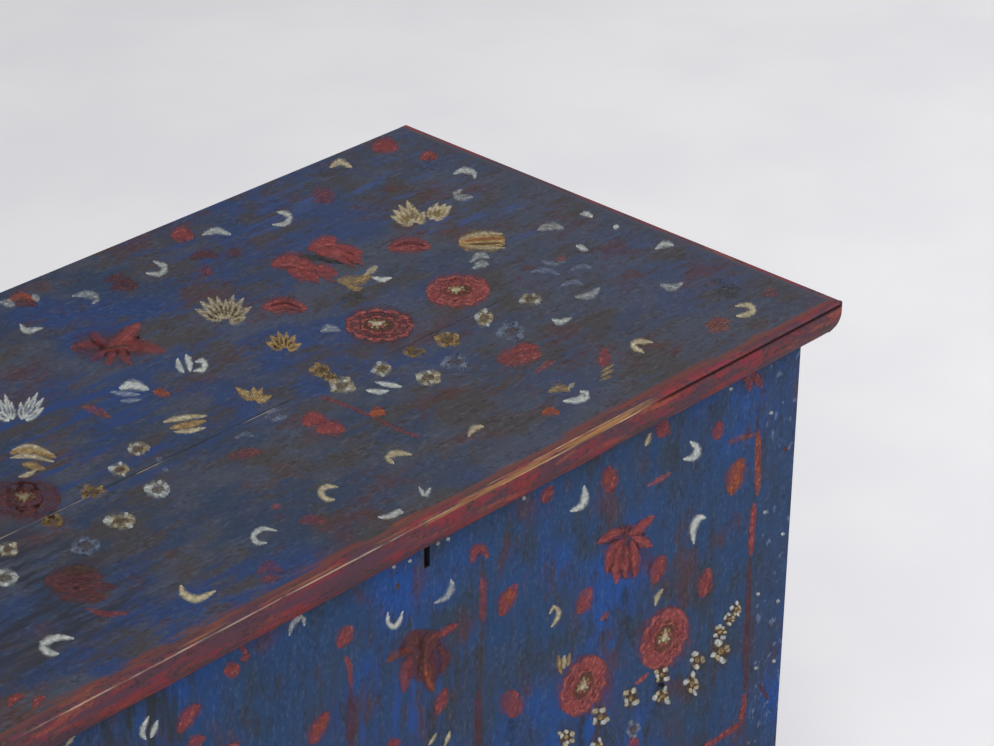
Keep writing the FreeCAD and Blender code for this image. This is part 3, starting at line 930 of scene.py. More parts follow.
@dataclass
class Studio:
    """A plain pale floor, soft light from the right and in front, and the photograph's camera."""
    floor_tone: Colour = paint(226, 224, 226)
    floor_shade: Colour = paint(220, 218, 221)
    floor_size: float = 14.0
    lights: tuple[SoftLight, ...] = (SoftLight("key", (2.6, -2.4, 3.4), 2.6, 150.0),
                                     SoftLight("fill", (-3.2, -1.6, 2.4), 3.0, 45.0))
    sky: Colour = (0.96, 0.98, 1.0, 1.0)
    sky_power: float = 0.62

    def build(self) -> None:
        """Sets the stage."""
        self.floor()
        for light in self.lights:
            light.build()
        world = bpy.data.worlds.new("studio")
        world.use_nodes = True
        backdrop = world.node_tree.nodes["Background"].inputs
        backdrop[0].default_value = self.sky
        backdrop[1].default_value = self.sky_power
        bpy.context.scene.world = world
        bpy.context.scene.view_settings.view_transform = "Standard"
        PhotoView().camera()

    def floor(self) -> None:
        """A large floor with a faint unevenness."""
        bm = bmesh.new()
        bmesh.ops.create_grid(bm, x_segments=8, y_segments=8, size=self.floor_size / 2)
        mesh = finished_mesh(bm, "floor")
        s = Shader("pale_floor")
        patch = s.noise((3.0, 3.0, 3.0), 3.0)
        colour = s.mix(patch.band(0.3, 0.7), self.floor_tone, self.floor_shade)
        mesh.materials.append(s.dress(colour, 0.8))
        add_object("floor", mesh)


LID_TOP = 0.600
PAINT_ROOM = 0.5 * MM
FRONT_FACE = -0.26365
END_FACE = 0.5105
SEAM = -0.0586


class Hue(Enum):
    """The flower painter's colours."""
    RED = BrushPaint("flower_red", paint(138, 63, 62), paint(104, 50, 53), paint(166, 94, 87), 1.0)
    DARK_RED = BrushPaint("flower_dark_red", paint(96, 52, 52), paint(70, 44, 48), paint(128, 70, 64), 2.0)
    ORANGE = BrushPaint("flower_orange", paint(148, 74, 46), paint(110, 56, 42), paint(180, 104, 62), 3.0)
    PINK = BrushPaint("flower_pink", paint(160, 82, 78), paint(126, 60, 62), paint(188, 116, 106), 4.0)
    CREAM = BrushPaint("flower_cream", paint(184, 171, 140), paint(134, 122, 98), paint(214, 204, 178), 5.0)
    WHITE = BrushPaint("flower_white", paint(198, 200, 193), paint(136, 144, 146), paint(222, 222, 214), 6.0)
    LILAC = BrushPaint("flower_lilac", paint(128, 138, 158), paint(92, 102, 126), paint(162, 172, 186), 7.0)
    TAN = BrushPaint("flower_tan", paint(158, 128, 80), paint(112, 90, 58), paint(188, 162, 112), 8.0)
    BROWN = BrushPaint("flower_brown", paint(84, 62, 46), paint(56, 46, 38), paint(112, 86, 60), 9.0)
    GREEN = BrushPaint("flower_green", paint(50, 58, 46), paint(34, 40, 36), paint(74, 78, 58), 10.0)


RED, DARK_RED, ORANGE, PINK, CREAM, WHITE, LILAC, TAN, BROWN, GREEN = Hue


class Tip(Enum):
    """How a stroke swells from its start to its end."""
    PETAL = 0
    POINTED = 1
    EVEN = 2
    ROUND = 3

    def swell(self, along: float) -> float:
        """How wide a stroke is along its way.

        Args:
            along: from 0 at its start to 1 at its end.
        Returns:
            The share of its full width.
        """
        inside = 0.03 + 0.94 * along
        if self is Tip.PETAL:
            return math.sin(math.pi * inside) ** 0.65
        if self is Tip.POINTED:
            return math.sin(math.pi * inside ** 0.7) ** 0.8
        if self is Tip.EVEN:
            return min(1.0, 5 * inside, 5 * (1 - inside)) ** 0.5
        return math.sqrt(1 - (2 * inside - 1) ** 2)


@dataclass(frozen=True)
class Stroke:
    """One touch of the brush, with the points that it passes as the photograph shows them."""
    hue: Hue
    width: float
    path: Path
    faded: float = 0.15
    tip: Tip = Tip.PETAL
    level: int = 0
    spread: float = 0.8
    look: float = 0.02

    def length(self) -> float:
        """How long the stroke is, straight from point to point."""
        return sum((Vector(b) - Vector(a)).length for a, b in zip(self.path, self.path[1:]))

    def middle(self, along: float) -> Vector:
        """A place on the stroke's middle line, which curves smoothly through its points.

        Args:
            along: from 0 at its start to 1 at its end.
        Returns:
            The place in the photograph.
        """
        last = len(self.path) - 1
        leg = min(int(along * last), last - 1)
        t = along * last - leg
        p, q = Vector(self.path[leg]), Vector(self.path[leg + 1])
        before = Vector(self.path[leg - 1]) if leg else 2 * p - q
        after = Vector(self.path[leg + 2]) if leg + 2 <= last else 2 * q - p
        bend = (2 * before - 5 * p + 4 * q - after) * t ** 2 + (3 * p - before - 3 * q + after) * t ** 3
        return (2 * p + (q - before) * t + bend) / 2

    def edge(self, along: float, across: float) -> Pixel:
        """A place on the stroke.

        Args:
            along: from 0 at its start to 1 at its end.
            across: from -1 at one side to 1 at the other.
        Returns:
            The place in the photograph.
        """
        ahead = self.middle(min(1.0, along + self.look)) - self.middle(max(0.0, along - self.look))
        side = Vector((-ahead.y, ahead.x)).normalized()
        place = self.middle(along) + side * (across * self.width * self.spread * self.tip.swell(along))
        return place.x, place.y


@dataclass(frozen=True)
class Motif:
    """A few strokes that belong together, laid one over the other."""
    strokes: tuple[Stroke, ...]

    def anchor(self) -> Pixel:
        """The middle of its first stroke."""
        place = self.strokes[0].middle(0.5)
        return place.x, place.y


@dataclass
class Face:
    """A painted face of the chest: films of paint on it, one piece for each hue."""
    name: str
    body: str
    normal: Vector
    films: dict[Hue, bmesh.types.BMesh] = field(default_factory=dict)
    gap: float = 0.06 * MM
    film: float = 0.03 * MM
    level_rise: float = 0.04 * MM
    motif_rise: float = 0.001 * MM
    levels: int = 8
    step_length: float = 4.0
    least_steps: int = 4
    most_steps: int = 16
    hair_length: float = 30.0
    hidden: float = 2.2
    count: int = 0

    def lay(self, motif: Motif, place: Callable[[Pixel], Vector]) -> None:
        """Lays a motif's strokes.

        Args:
            motif: what is painted.
            place: gives the point of the face for a point of the photograph.
        """
        self.count += 1
        for stroke in motif.strokes:
            height = self.gap + self.level_rise * min(stroke.level, self.levels)
            height += self.motif_rise * (self.count % (self.levels + 1))
            if stroke.hue not in self.films:
                self.films[stroke.hue] = bmesh.new()
                self.films[stroke.hue].verts.layers.float_vector.new("stroke")
            bm = self.films[stroke.hue]
            layer = bm.verts.layers.float_vector["stroke"]
            steps = round(stroke.length() / self.step_length)
            steps = max(self.least_steps, min(self.most_steps, steps))
            grid = bmesh.ops.create_grid(bm, x_segments=steps, y_segments=2, size=1.0)
            for vertex in grid["verts"]:
                along, across = (vertex.co.x + 1) / 2, vertex.co.y
                vertex[layer] = (along * stroke.length() / self.hair_length, across, stroke.faded)
                vertex.co = place(stroke.edge(along, across)) + self.normal * height

    def finish(self) -> None:
        """Thickens the films, clears their undersides and turns them into pieces."""
        for hue, bm in self.films.items():
            pulled = bmesh.ops.extrude_face_region(bm, geom=bm.faces[:])
            raised = [item for item in pulled["geom"] if isinstance(item, bmesh.types.BMVert)]
            bmesh.ops.translate(bm, verts=raised, vec=self.normal * self.film)
            layer = bm.verts.layers.float_vector["stroke"]
            for vertex in set(bm.verts) - set(raised):
                vertex[layer] = (vertex[layer].x, vertex[layer].y, self.hidden)
            bmesh.ops.recalc_face_normals(bm, faces=bm.faces[:])
            made = make_piece(bm, self.name + "_" + hue.value.name, self.body, (paints()[hue],))


@functools.cache
def paints() -> dict[Hue, bpy.types.Material]:
    """Every hue's material, made once."""
    return {hue: hue.value.material() for hue in Hue}


def disc(hue: Hue, centre: Pixel, half: Pixel, width: float, faded: float = 0.1,
         level: int = 0) -> Stroke:
    """A round touch of paint; half is the step from its middle to its end."""
    start, end = Vector(centre) - Vector(half), Vector(centre) + Vector(half)
    return Stroke(hue, width, (tuple(start), tuple(end)), faded, Tip.ROUND, level)


@dataclass(frozen=True)
class Touches:
    """Strokes of one hue and width, each a motif of its own."""
    hue: Hue
    width: float
    paths: tuple[Path, ...]
    faded: float = 0.15
    tip: Tip = Tip.PETAL

    def motifs(self) -> list[Motif]:
        """One motif for each path."""
        return [Motif((Stroke(self.hue, self.width, path, self.faded, self.tip),)) for path in self.paths]


@dataclass(frozen=True)
class Cluster:
    """Strokes that belong together, each laid over the one before it."""
    strokes: tuple[Stroke, ...]

    def motifs(self) -> list[Motif]:
        """One motif of them all."""
        return [Motif(tuple(replace(stroke, level=i) for i, stroke in enumerate(self.strokes)))]


@dataclass(frozen=True)
class Spray:
    """A lotus or a bud: pointed petals from one base, shorter ones between them, and thin veins."""
    base: Pixel
    tips: Path
    width: float
    hue: Hue = CREAM
    vein: Hue = TAN
    faded: float = 0.1

    def part(self, tip: Pixel, near: float, far: float) -> Path:
        """A stretch of the way from the base to a petal's tip."""
        return tuple(tuple(Vector(self.base).lerp(Vector(tip), share)) for share in (near, far))

    def motifs(self) -> list[Motif]:
        """One motif of all the petals.

        Returns:
            That motif, in a list.
        """
        strokes = []
        for i, tip in enumerate(self.tips):
            path = self.part(tip, 0.16, 1.0)
            strokes.append(Stroke(self.hue, self.width, path, self.faded, Tip.POINTED, i % 3))
        for a, b in zip(self.tips, self.tips[1:]):
            path = self.part(((a[0] + b[0]) / 2, (a[1] + b[1]) / 2), 0.3, 0.66)
            strokes.append(Stroke(self.hue, self.width * 0.7, path, self.faded + 0.05, Tip.POINTED, 3))
        for tip in self.tips:
            path = self.part(tip, 0.3, 0.75)
            strokes.append(Stroke(self.vein, self.width * 0.3, path, self.faded + 0.25, level=4))
        return [Motif(tuple(strokes))]


@dataclass(frozen=True)
class Daisies:
    """Small flowers, each with its middle, half its width and height and its hue: petals round a heart."""
    flowers: tuple[tuple[Pixel, float, float, Hue], ...]
    heart: Hue = BROWN
    faded: float = 0.15
    ring: Hue | None = None
    petals: int = 7

    def motifs(self) -> list[Motif]:
        """One motif for each flower."""
        return [self.flower(*row) for row in self.flowers]

    def flower(self, centre: Pixel, wide: float, high: float, hue: Hue) -> Motif:
        """One flower.

        Args:
            centre: its middle.
            wide: half its width.
            high: half its height.
            hue: the petals' colour.
        Returns:
            Its strokes.
        """
        core = 0.28 if self.ring else 0.46
        strokes = [disc(self.ring or hue, centre, (wide * 0.85, 0.0), high * 1.7, self.faded + 0.12)]
        for i in range(self.petals):
            turn = 2 * math.pi * (i + 0.3) / self.petals + 0.4 * math.sin(2.4 * i + centre[0])
            reach = 0.95 + 0.2 * math.sin(3.1 * i + centre[1])
            out = Vector((math.cos(turn) * wide, math.sin(turn) * high)) * reach
            near, far = Vector(centre) + out * 0.45, Vector(centre) + out
            breadth = (4.0 + 1.2 * math.sin(4.3 * i + centre[0])) * math.sqrt(wide * high) / self.petals
            shade = WHITE if hue is CREAM and i % 2 else hue
            strokes.append(Stroke(shade, breadth, (tuple(near), tuple(far)), self.faded, level=1 + i % 2))
        strokes.append(disc(self.heart, centre, (wide * core, 0.0), high * core * 2, self.faded + 0.05, 3))
        return Motif(tuple(strokes))


@dataclass(frozen=True)
class Rosette:
    """A large round flower: a disc, soft lobes, rays, a brown ring and a pale heart."""
    centre: Pixel
    long: Pixel
    half_width: float
    heart: Pixel
    body: Hue
    rim: Hue
    faded: float
    lobes: int = 11
    rays: int = 9
    inner_lobes: int = 7

    def around(self, turn: float, share: float) -> Vector:
        """A place round the disc.

        Args:
            turn: how far round, in radians.
            share: how far out, as a share of the disc.
        Returns:
            The place in the photograph.
        """
        side = Vector((-self.long[1], self.long[0])).normalized() * self.half_width
        place = Vector(self.centre) + Vector(self.long) * (math.cos(turn) * share)
        return place + side * (math.sin(turn) * share)

    def arcs(self, count: int, spread: float, inner: float, outer: float) -> list[Path]:
        """Short arcs all the way round.

        Args:
            count: how many.
            spread: half the turn that each covers, in radians.
            inner: how far out its ends lie, as a share.
            outer: how far out its middle lies.
        Returns:
            The arcs.
        """
        steps = (-spread, inner), (0.0, outer), (spread, inner)
        turns = [2 * math.pi * i / count for i in range(count)]
        return [tuple(tuple(self.around(turn + step, share)) for step, share in steps) for turn in turns]

    def motifs(self) -> list[Motif]:
        """One motif of the whole flower.

        Returns:
            That motif, in a list.
        """
        half, faded, long = self.half_width, self.faded, Vector(self.long)
        strokes = [disc(self.body, self.centre, long, half * 2.0, faded)]
        for path in self.arcs(self.lobes, 0.30, 0.84, 0.97):
            strokes.append(Stroke(self.rim, 0.16 * half + 1.2, path, faded + 0.2, level=1))
        for path in self.arcs(self.lobes, 0.02, 0.58, 0.82):
            strokes.append(Stroke(self.rim, 0.12 * half + 1.0, path[:2], faded + 0.25, level=2))
        strokes.append(disc(BROWN, self.heart, long * 0.52, half * 1.04, faded + 0.3, 2))
        for path in self.arcs(self.inner_lobes, 0.42, 0.46, 0.55):
            strokes.append(Stroke(self.rim, 0.12 * half + 1.0, path, faded + 0.2, level=3))
        for i in range(self.rays):
            turn = 2 * math.pi * (i + 0.2) / self.rays
            out = [self.around(turn, share) - Vector(self.centre) for share in (0.10, 0.30)]
            path = tuple(tuple(Vector(self.heart) + step) for step in out)
            strokes.append(Stroke((TAN, PINK, CREAM)[i % 3], 0.2 * half, path, faded + 0.15, level=4))
        strokes.append(disc(CREAM, self.heart, long * 0.15, half * 0.3, faded, 5))
        return [Motif(tuple(strokes))]


class Flowers:
    """A face's flowers: each field is a group of motifs read from the photograph, laid in order."""

    def motifs(self) -> list[Motif]:
        """Every motif of the face."""
        return [motif for item in fields(self) for motif in getattr(self, item.name).motifs()]


@dataclass(frozen=True)
class LidFlowers(Flowers):
    """The lid's flowers, from the back edge to the front."""
    pale_moons: Touches = Touches(WHITE, 6, (((202, 235), (216, 230.5), (231, 235)),
        ((20, 324), (27, 331), (43, 328)), ((272, 224.5), (285, 224), (290, 217), (284, 213), (277, 212)),
        ((146, 273), (160, 274), (165, 267), (153, 261)), ((453, 174), (463, 170), (474, 173), (474, 179)),
        ((580, 214), (588, 214), (592, 218)), ((655, 249), (665, 244), (674, 246)),
        ((552, 318.5), (559, 322.5), (572, 318)), ((378, 517), (390, 516.5), (399, 512), (403, 514))), 0.28)
    cream_moons: Touches = Touches(CREAM, 6.5, (((329.5, 167.5), (340, 162), (352, 168)),
        ((484, 427), (473, 429), (468, 437)), ((653, 342.5), (637, 342), (634, 347), (644, 353)),
        ((735, 306), (748, 305), (753, 310), (746, 315), (736, 316)),
        ((412, 455), (396, 453), (388, 458), (394, 464)),
        ((338, 487), (325, 487), (321, 493), (326, 499), (335, 500))))
    small_moons: Touches = Touches(WHITE, 5.5, (((277, 531), (262, 529), (253, 536), (258, 543), (267, 543)),
        ((419, 487), (425, 495), (431, 488)), ((613, 227), (619, 227)), ((576, 245), (588, 251))), 0.25)
    bright_moon: Touches = Touches(CREAM, 8, (((181, 585), (184, 594), (197, 599), (216, 591)),), 0.05)
    front_moon: Touches = Touches(WHITE, 8, (((74, 638.5), (55, 638), (43, 646), (50, 653), (59, 654)),))
    faint_moons: Touches = Touches(WHITE, 7, (((72, 296), (86, 294), (97, 298), (92, 304)),
        ((33, 294), (38, 302)), ((0, 302), (8, 303), (15, 306)), ((660, 284), (672, 288), (683, 283)),
        ((575, 296.5), (590, 295.5), (600, 288)), ((462, 190), (455, 195), (463, 198), (473, 197)),
        ((537, 230), (551, 226), (564, 229)), ((470, 262), (480, 255), (489, 258)),
        ((472, 268), (482, 264), (489, 265)), ((320, 331), (330, 328), (340, 331))), 0.5)
    white_dashes: Touches = Touches(WHITE, 5, (((375, 382), (390, 385), (402, 387)),
        ((366, 390), (378, 392), (389, 391))))
    lilac_dashes: Touches = Touches(LILAC, 5, (((264, 418), (272, 411), (280, 410)),
        ((270, 422), (279, 418), (288, 417)), ((234, 438), (244, 434), (255, 437)), ((156, 458), (162, 461)),
        ((163, 468), (168, 471)), ((540, 260), (552, 264), (566, 262)), ((530, 272), (545, 270), (560, 275)),
        ((570, 270), (580, 266), (592, 268)), ((560, 286), (572, 282), (584, 285))), 0.5)
    far_lotus_left: Spray = Spray((417, 226),
        ((391, 216), (393, 210), (399, 205), (407, 200.5), (415, 207), (425, 212)), 9)
    far_lotus_right: Spray = Spray((431, 222), ((452, 206), (446, 204), (438, 203), (431, 207)), 9)
    far_lotus_base: Touches = Touches(TAN, 6, (((401, 215), (410, 214), (419, 216)),), 0.15)
    middle_lotus: Spray = Spray((226, 323),
        ((195, 309), (200, 301), (208, 297), (217, 296), (226, 299), (234, 295), (244, 298), (252, 307),
         (246, 318)), 8, CREAM, BROWN, 0.28)
    white_lotus_left: Spray = Spray((12, 423), ((-6, 411), (-2, 398), (5, 394), (12, 402)), 7, WHITE, LILAC,
        0.12)
    white_lotus_right: Spray = Spray((22, 423), ((21, 402), (30, 397), (38, 392.5), (44, 398), (44, 408)), 7,
        WHITE, LILAC, 0.12)
    yellow_bud_far: Spray = Spray((285, 351),
        ((266, 342), (270, 335), (278, 331), (287, 332), (296, 335), (302, 344)), 7, TAN, BROWN, 0.12)
    yellow_bud_near: Spray = Spray((254, 403), ((236, 387), (245, 390), (254, 387), (263, 388), (272, 396)),
        7, TAN, CREAM)
    striped_bud: Cluster = Cluster((Stroke(TAN, 17, ((459, 242), (482, 241), (505, 241)), 0.05, Tip.EVEN),
        Stroke(CREAM, 4, ((461, 239), (480, 234), (503, 234)), 0.35),
        Stroke(ORANGE, 3.5, ((464, 241), (484, 239), (504, 239)), 0.35),
        Stroke(CREAM, 3.5, ((465, 246), (485, 248), (506, 248)), 0.35),
        Stroke(BROWN, 2.5, ((470, 244), (486, 244), (502, 243)), 0.2)))
    cream_leaf: Cluster = Cluster((Stroke(TAN, 7, ((170, 428), (188, 425), (206, 421)), 0.15),
        Stroke(CREAM, 5.5, ((163, 422), (183, 418), (207, 416)), 0.15),
        Stroke(CREAM, 4.5, ((174, 432), (190, 431), (206, 428)), 0.15)))
    cream_tuft: Cluster = Cluster((Stroke(TAN, 10, ((10, 453), (30, 449), (56, 458)), 0.15),
        Stroke(CREAM, 4, ((12, 450), (30, 446), (54, 455)), 0.15),
        Stroke(CREAM, 5, ((10, 458), (28, 456), (54, 462)), 0.2),
        Stroke(TAN, 7, ((22, 464), (33, 466), (46, 470)), 0.2),
        Stroke(CREAM, 5, ((18, 477), (30, 474), (38, 469)), 0.2)))
    white_tulip: Cluster = Cluster((Stroke(WHITE, 6, ((178, 358), (179, 367), (184, 373)), 0.1),
        Stroke(WHITE, 6.5, ((186, 354), (189, 362), (190, 372)), 0.1),
        Stroke(WHITE, 6, ((193, 371), (204, 369), (203, 361), (195, 362)), 0.1)))
    white_leaf: Cluster = Cluster((Stroke(WHITE, 9, ((119, 388), (133, 385), (149, 390)), 0.12),
        Stroke(LILAC, 5, ((110, 392), (125, 394), (140, 395)), 0.15),
        Stroke(LILAC, 4, ((120, 401), (130, 401), (142, 400)), 0.2)))
    tan_leaf: Cluster = Cluster((Stroke(TAN, 7, ((548, 392), (560, 388), (570, 391)), 0.3),
        Stroke(WHITE, 7.5, ((563, 401), (578, 400), (587, 395), (580, 391)), 0.15),
        Stroke(CREAM, 4, ((568, 388), (575, 383)), 0.3)))
    red_buds: Touches = Touches(RED, 15, (((388, 248), (408, 245), (431, 247)),
        ((262, 307), (284, 305), (307, 309)), ((372, 149), (385, 145), (398, 150)),
        ((302, 424), (312, 419), (326, 421)), ((316, 430), (330, 427), (345, 431)),
        ((171, 236), (181, 234), (193, 238))), 0.15)
    pink_lights: Touches = Touches(PINK, 3, (((394, 246), (410, 243), (426, 246)),
        ((270, 306), (286, 303), (302, 309)), ((420, 158), (429, 154), (437, 159))), 0.25)
    dark_veins: Touches = Touches(DARK_RED, 3, (((398, 250), (412, 249), (428, 250)),
        ((276, 310), (288, 309), (302, 312)), ((286, 304), (288, 299), (289, 295)),
        ((291, 304), (293, 299), (295, 296))), 0.25)
    corner_bud: Touches = Touches(RED, 10, (((420, 159), (429, 155), (437, 159)),), 0.2)
    round_bud: Cluster = Cluster((disc(RED, (519, 356), (22, -3), 19, 0.32),
        Stroke(RED, 8, ((512, 352), (524, 347), (538, 347)), 0.2)))
    orange_buds: Touches = Touches(ORANGE, 8, (((541, 414), (550, 411), (560, 414)),
        ((153, 391), (162, 393), (170, 396)), ((8, 300), (22, 296), (38, 301))), 0.25)
    edge_shadow: Touches = Touches(DARK_RED, 7, (((14, 305), (26, 303), (38, 306)),), 0.3)
    striped_stem: Cluster = Cluster((Stroke(RED, 14, ((602, 367), (604, 358), (607, 349)), 0.28),
        Stroke(TAN, 3, ((601, 372), (608, 368), (614, 364)), 0.25),
        Stroke(TAN, 3, ((600, 377), (607, 373), (614, 370)), 0.25),
        Stroke(TAN, 3, ((599, 381), (606, 378), (612, 376)), 0.3)))
    lip_buds: Touches = Touches(RED, 8, (((8, 707), (14, 698), (24, 697)),
        ((32, 709), (38, 700), (46, 699))), 0.2)
    worn_buds: Touches = Touches(RED, 10, (((311, 195), (322, 192), (335, 195)),
        ((314, 200), (324, 199), (334, 201)), ((228, 458), (245, 453), (262, 452)),
        ((298, 522), (312, 519), (325, 522)), ((257, 575), (268, 566), (283, 572)),
        ((260, 580), (270, 578), (280, 578)), ((763, 296), (770, 292), (778, 297)),
        ((200, 272), (206, 270), (213, 274))), 0.5)
    worn_dark_buds: Touches = Touches(DARK_RED, 9, (((104, 280), (120, 279), (139, 288)),
        ((110, 289), (122, 286), (134, 290)), ((190, 258), (205, 254), (220, 257)),
        ((225, 256), (234, 252), (240, 256))), 0.38)
    worn_leaf: Cluster = Cluster((Stroke(DARK_RED, 17, ((43, 583), (70, 576), (104, 578)), 0.3),
        Stroke(DARK_RED, 16, ((52, 589), (80, 587), (116, 588)), 0.3),
        Stroke(DARK_RED, 13, ((60, 598), (84, 597), (106, 599)), 0.34),
        Stroke(BROWN, 8, ((60, 574), (82, 569), (98, 572)), 0.4)))
    worn_pinks: Touches = Touches(PINK, 6, (((533, 374), (545, 366), (555, 361)),
        ((556, 260), (562, 258), (567, 260)), ((271, 507), (281, 507))), 0.5)
    worn_oranges: Touches = Touches(ORANGE, 8, (((705, 326), (718, 321), (732, 323)),
        ((708, 331), (720, 328), (730, 329)), ((82, 406), (97, 411), (110, 418))), 0.45)
    worn_dash: Touches = Touches(RED, 6, (((86, 608), (105, 614), (130, 613)),), 0.35)
    green_shadows: Touches = Touches(GREEN, 8, (((711, 280), (726, 284), (742, 290)),
        ((716, 292), (728, 294), (740, 298)), ((340, 300), (352, 296), (366, 298))), 0.6)
    lobed_leaf: Cluster = Cluster((Stroke(RED, 15, ((271, 265), (293, 261), (316, 268)), 0.12),
        Stroke(RED, 14, ((288, 270), (304, 274), (319, 278)), 0.15),
        Stroke(RED, 11, ((314, 267), (326, 270), (337, 276)), 0.15),
        Stroke(RED, 14, ((308, 249), (322, 244), (337, 239.5)), 0.1),
        Stroke(RED, 16, ((316, 252), (338, 252), (361, 259)), 0.1),
        Stroke(RED, 7, ((338, 246), (350, 249), (363, 254)), 0.15),
        Stroke(PINK, 3, ((318, 247), (330, 244), (340, 247)), 0.25),
        Stroke(PINK, 3, ((326, 253), (342, 253), (358, 258)), 0.25),
        Stroke(PINK, 3, ((280, 265), (296, 266), (312, 273)), 0.25),
        Stroke(GREEN, 5, ((298, 257), (318, 258), (342, 264)), 0.35),
        Stroke(RED, 6, ((300, 270), (310, 276), (320, 284)), 0.2),
        Stroke(RED, 6, ((342, 254), (352, 258), (363, 265)), 0.2),
        Stroke(RED, 5, ((334, 258), (346, 262), (356, 268)), 0.25),
        Stroke(RED, 5, ((316, 272), (326, 277), (334, 283)), 0.25)))
    tan_tuft: Cluster = Cluster((Stroke(TAN, 11, ((337, 280), (354, 281), (372, 277)), 0.34),
        Stroke(CREAM, 6, ((364, 275), (372, 270), (378, 267)), 0.25),
        Stroke(WHITE, 5, ((372, 277), (382, 280), (392, 278)), 0.15),
        Stroke(TAN, 6, ((347, 286), (356, 289), (363, 288)), 0.35)))
    left_leaf: Cluster = Cluster((disc(DARK_RED, (108, 347), (36, 2), 30, 0.5),
        Stroke(RED, 15, ((106, 350), (124, 339), (140, 324)), 0.16),
        Stroke(RED, 12, ((112, 346), (138, 346), (166, 352)), 0.3),
        Stroke(RED, 8, ((108, 346), (99, 340), (91, 332)), 0.42),
        Stroke(RED, 7, ((106, 348), (88, 345), (70, 348)), 0.46),
        Stroke(RED, 7, ((108, 350), (99, 355), (90, 361)), 0.42),
        Stroke(RED, 8, ((114, 349), (111, 357), (107, 366)), 0.36),
        Stroke(RED, 8, ((120, 348), (124, 356), (131, 365)), 0.34),
        Stroke(GREEN, 3, ((98, 350), (114, 347), (130, 346)), 0.4)))
    far_rosette: Rosette = Rosette((458, 291), (31.5, -1.0), 15, (456, 290), RED, PINK, 0.12)
    middle_rosette: Rosette = Rosette((379.4, 325.2), (34, 1.0), 16, (377, 324), DARK_RED, PINK, 0.1)
    left_rosette: Rosette = Rosette((25, 499), (36, 0.0), 19, (24, 497), DARK_RED, DARK_RED, 0.36)
    daisies: Daisies = Daisies((((484.5, 318), 10, 9, CREAM), ((447, 339.7), 14, 8, TAN),
        ((428, 377.5), 14, 7.5, CREAM), ((382, 369), 11, 7, CREAM), ((342, 385.5), 14, 8, CREAM),
        ((320, 370), 11, 7, TAN), ((138, 449), 12, 7, CREAM), ((120, 469.5), 11, 7, CREAM),
        ((158, 489.7), 14, 9, WHITE), ((121, 521), 17, 8, CREAM), ((8, 549), 11, 7, CREAM),
        ((5, 578), 15, 9, WHITE)), faded=0.3)
    faint_daisies: Daisies = Daisies((((530.7, 299), 13, 6, CREAM), ((511.5, 331), 15, 9, LILAC),
        ((455, 362), 15, 8, LILAC), ((86, 546), 17, 9, LILAC), ((92, 492), 14, 7, TAN),
        ((53, 521), 12, 7, TAN), ((330, 377), 8, 5, TAN), ((414, 352), 12, 6, TAN)), faded=0.45)
    vine: Touches = Touches(RED, 4, (((318, 396), (345, 405), (372, 417)),
        ((374, 418), (400, 430), (421, 438))), 0.45, Tip.EVEN)
    vine_bud: Touches = Touches(ORANGE, 10, (((369, 414), (377, 412), (385, 414)),), 0.12)


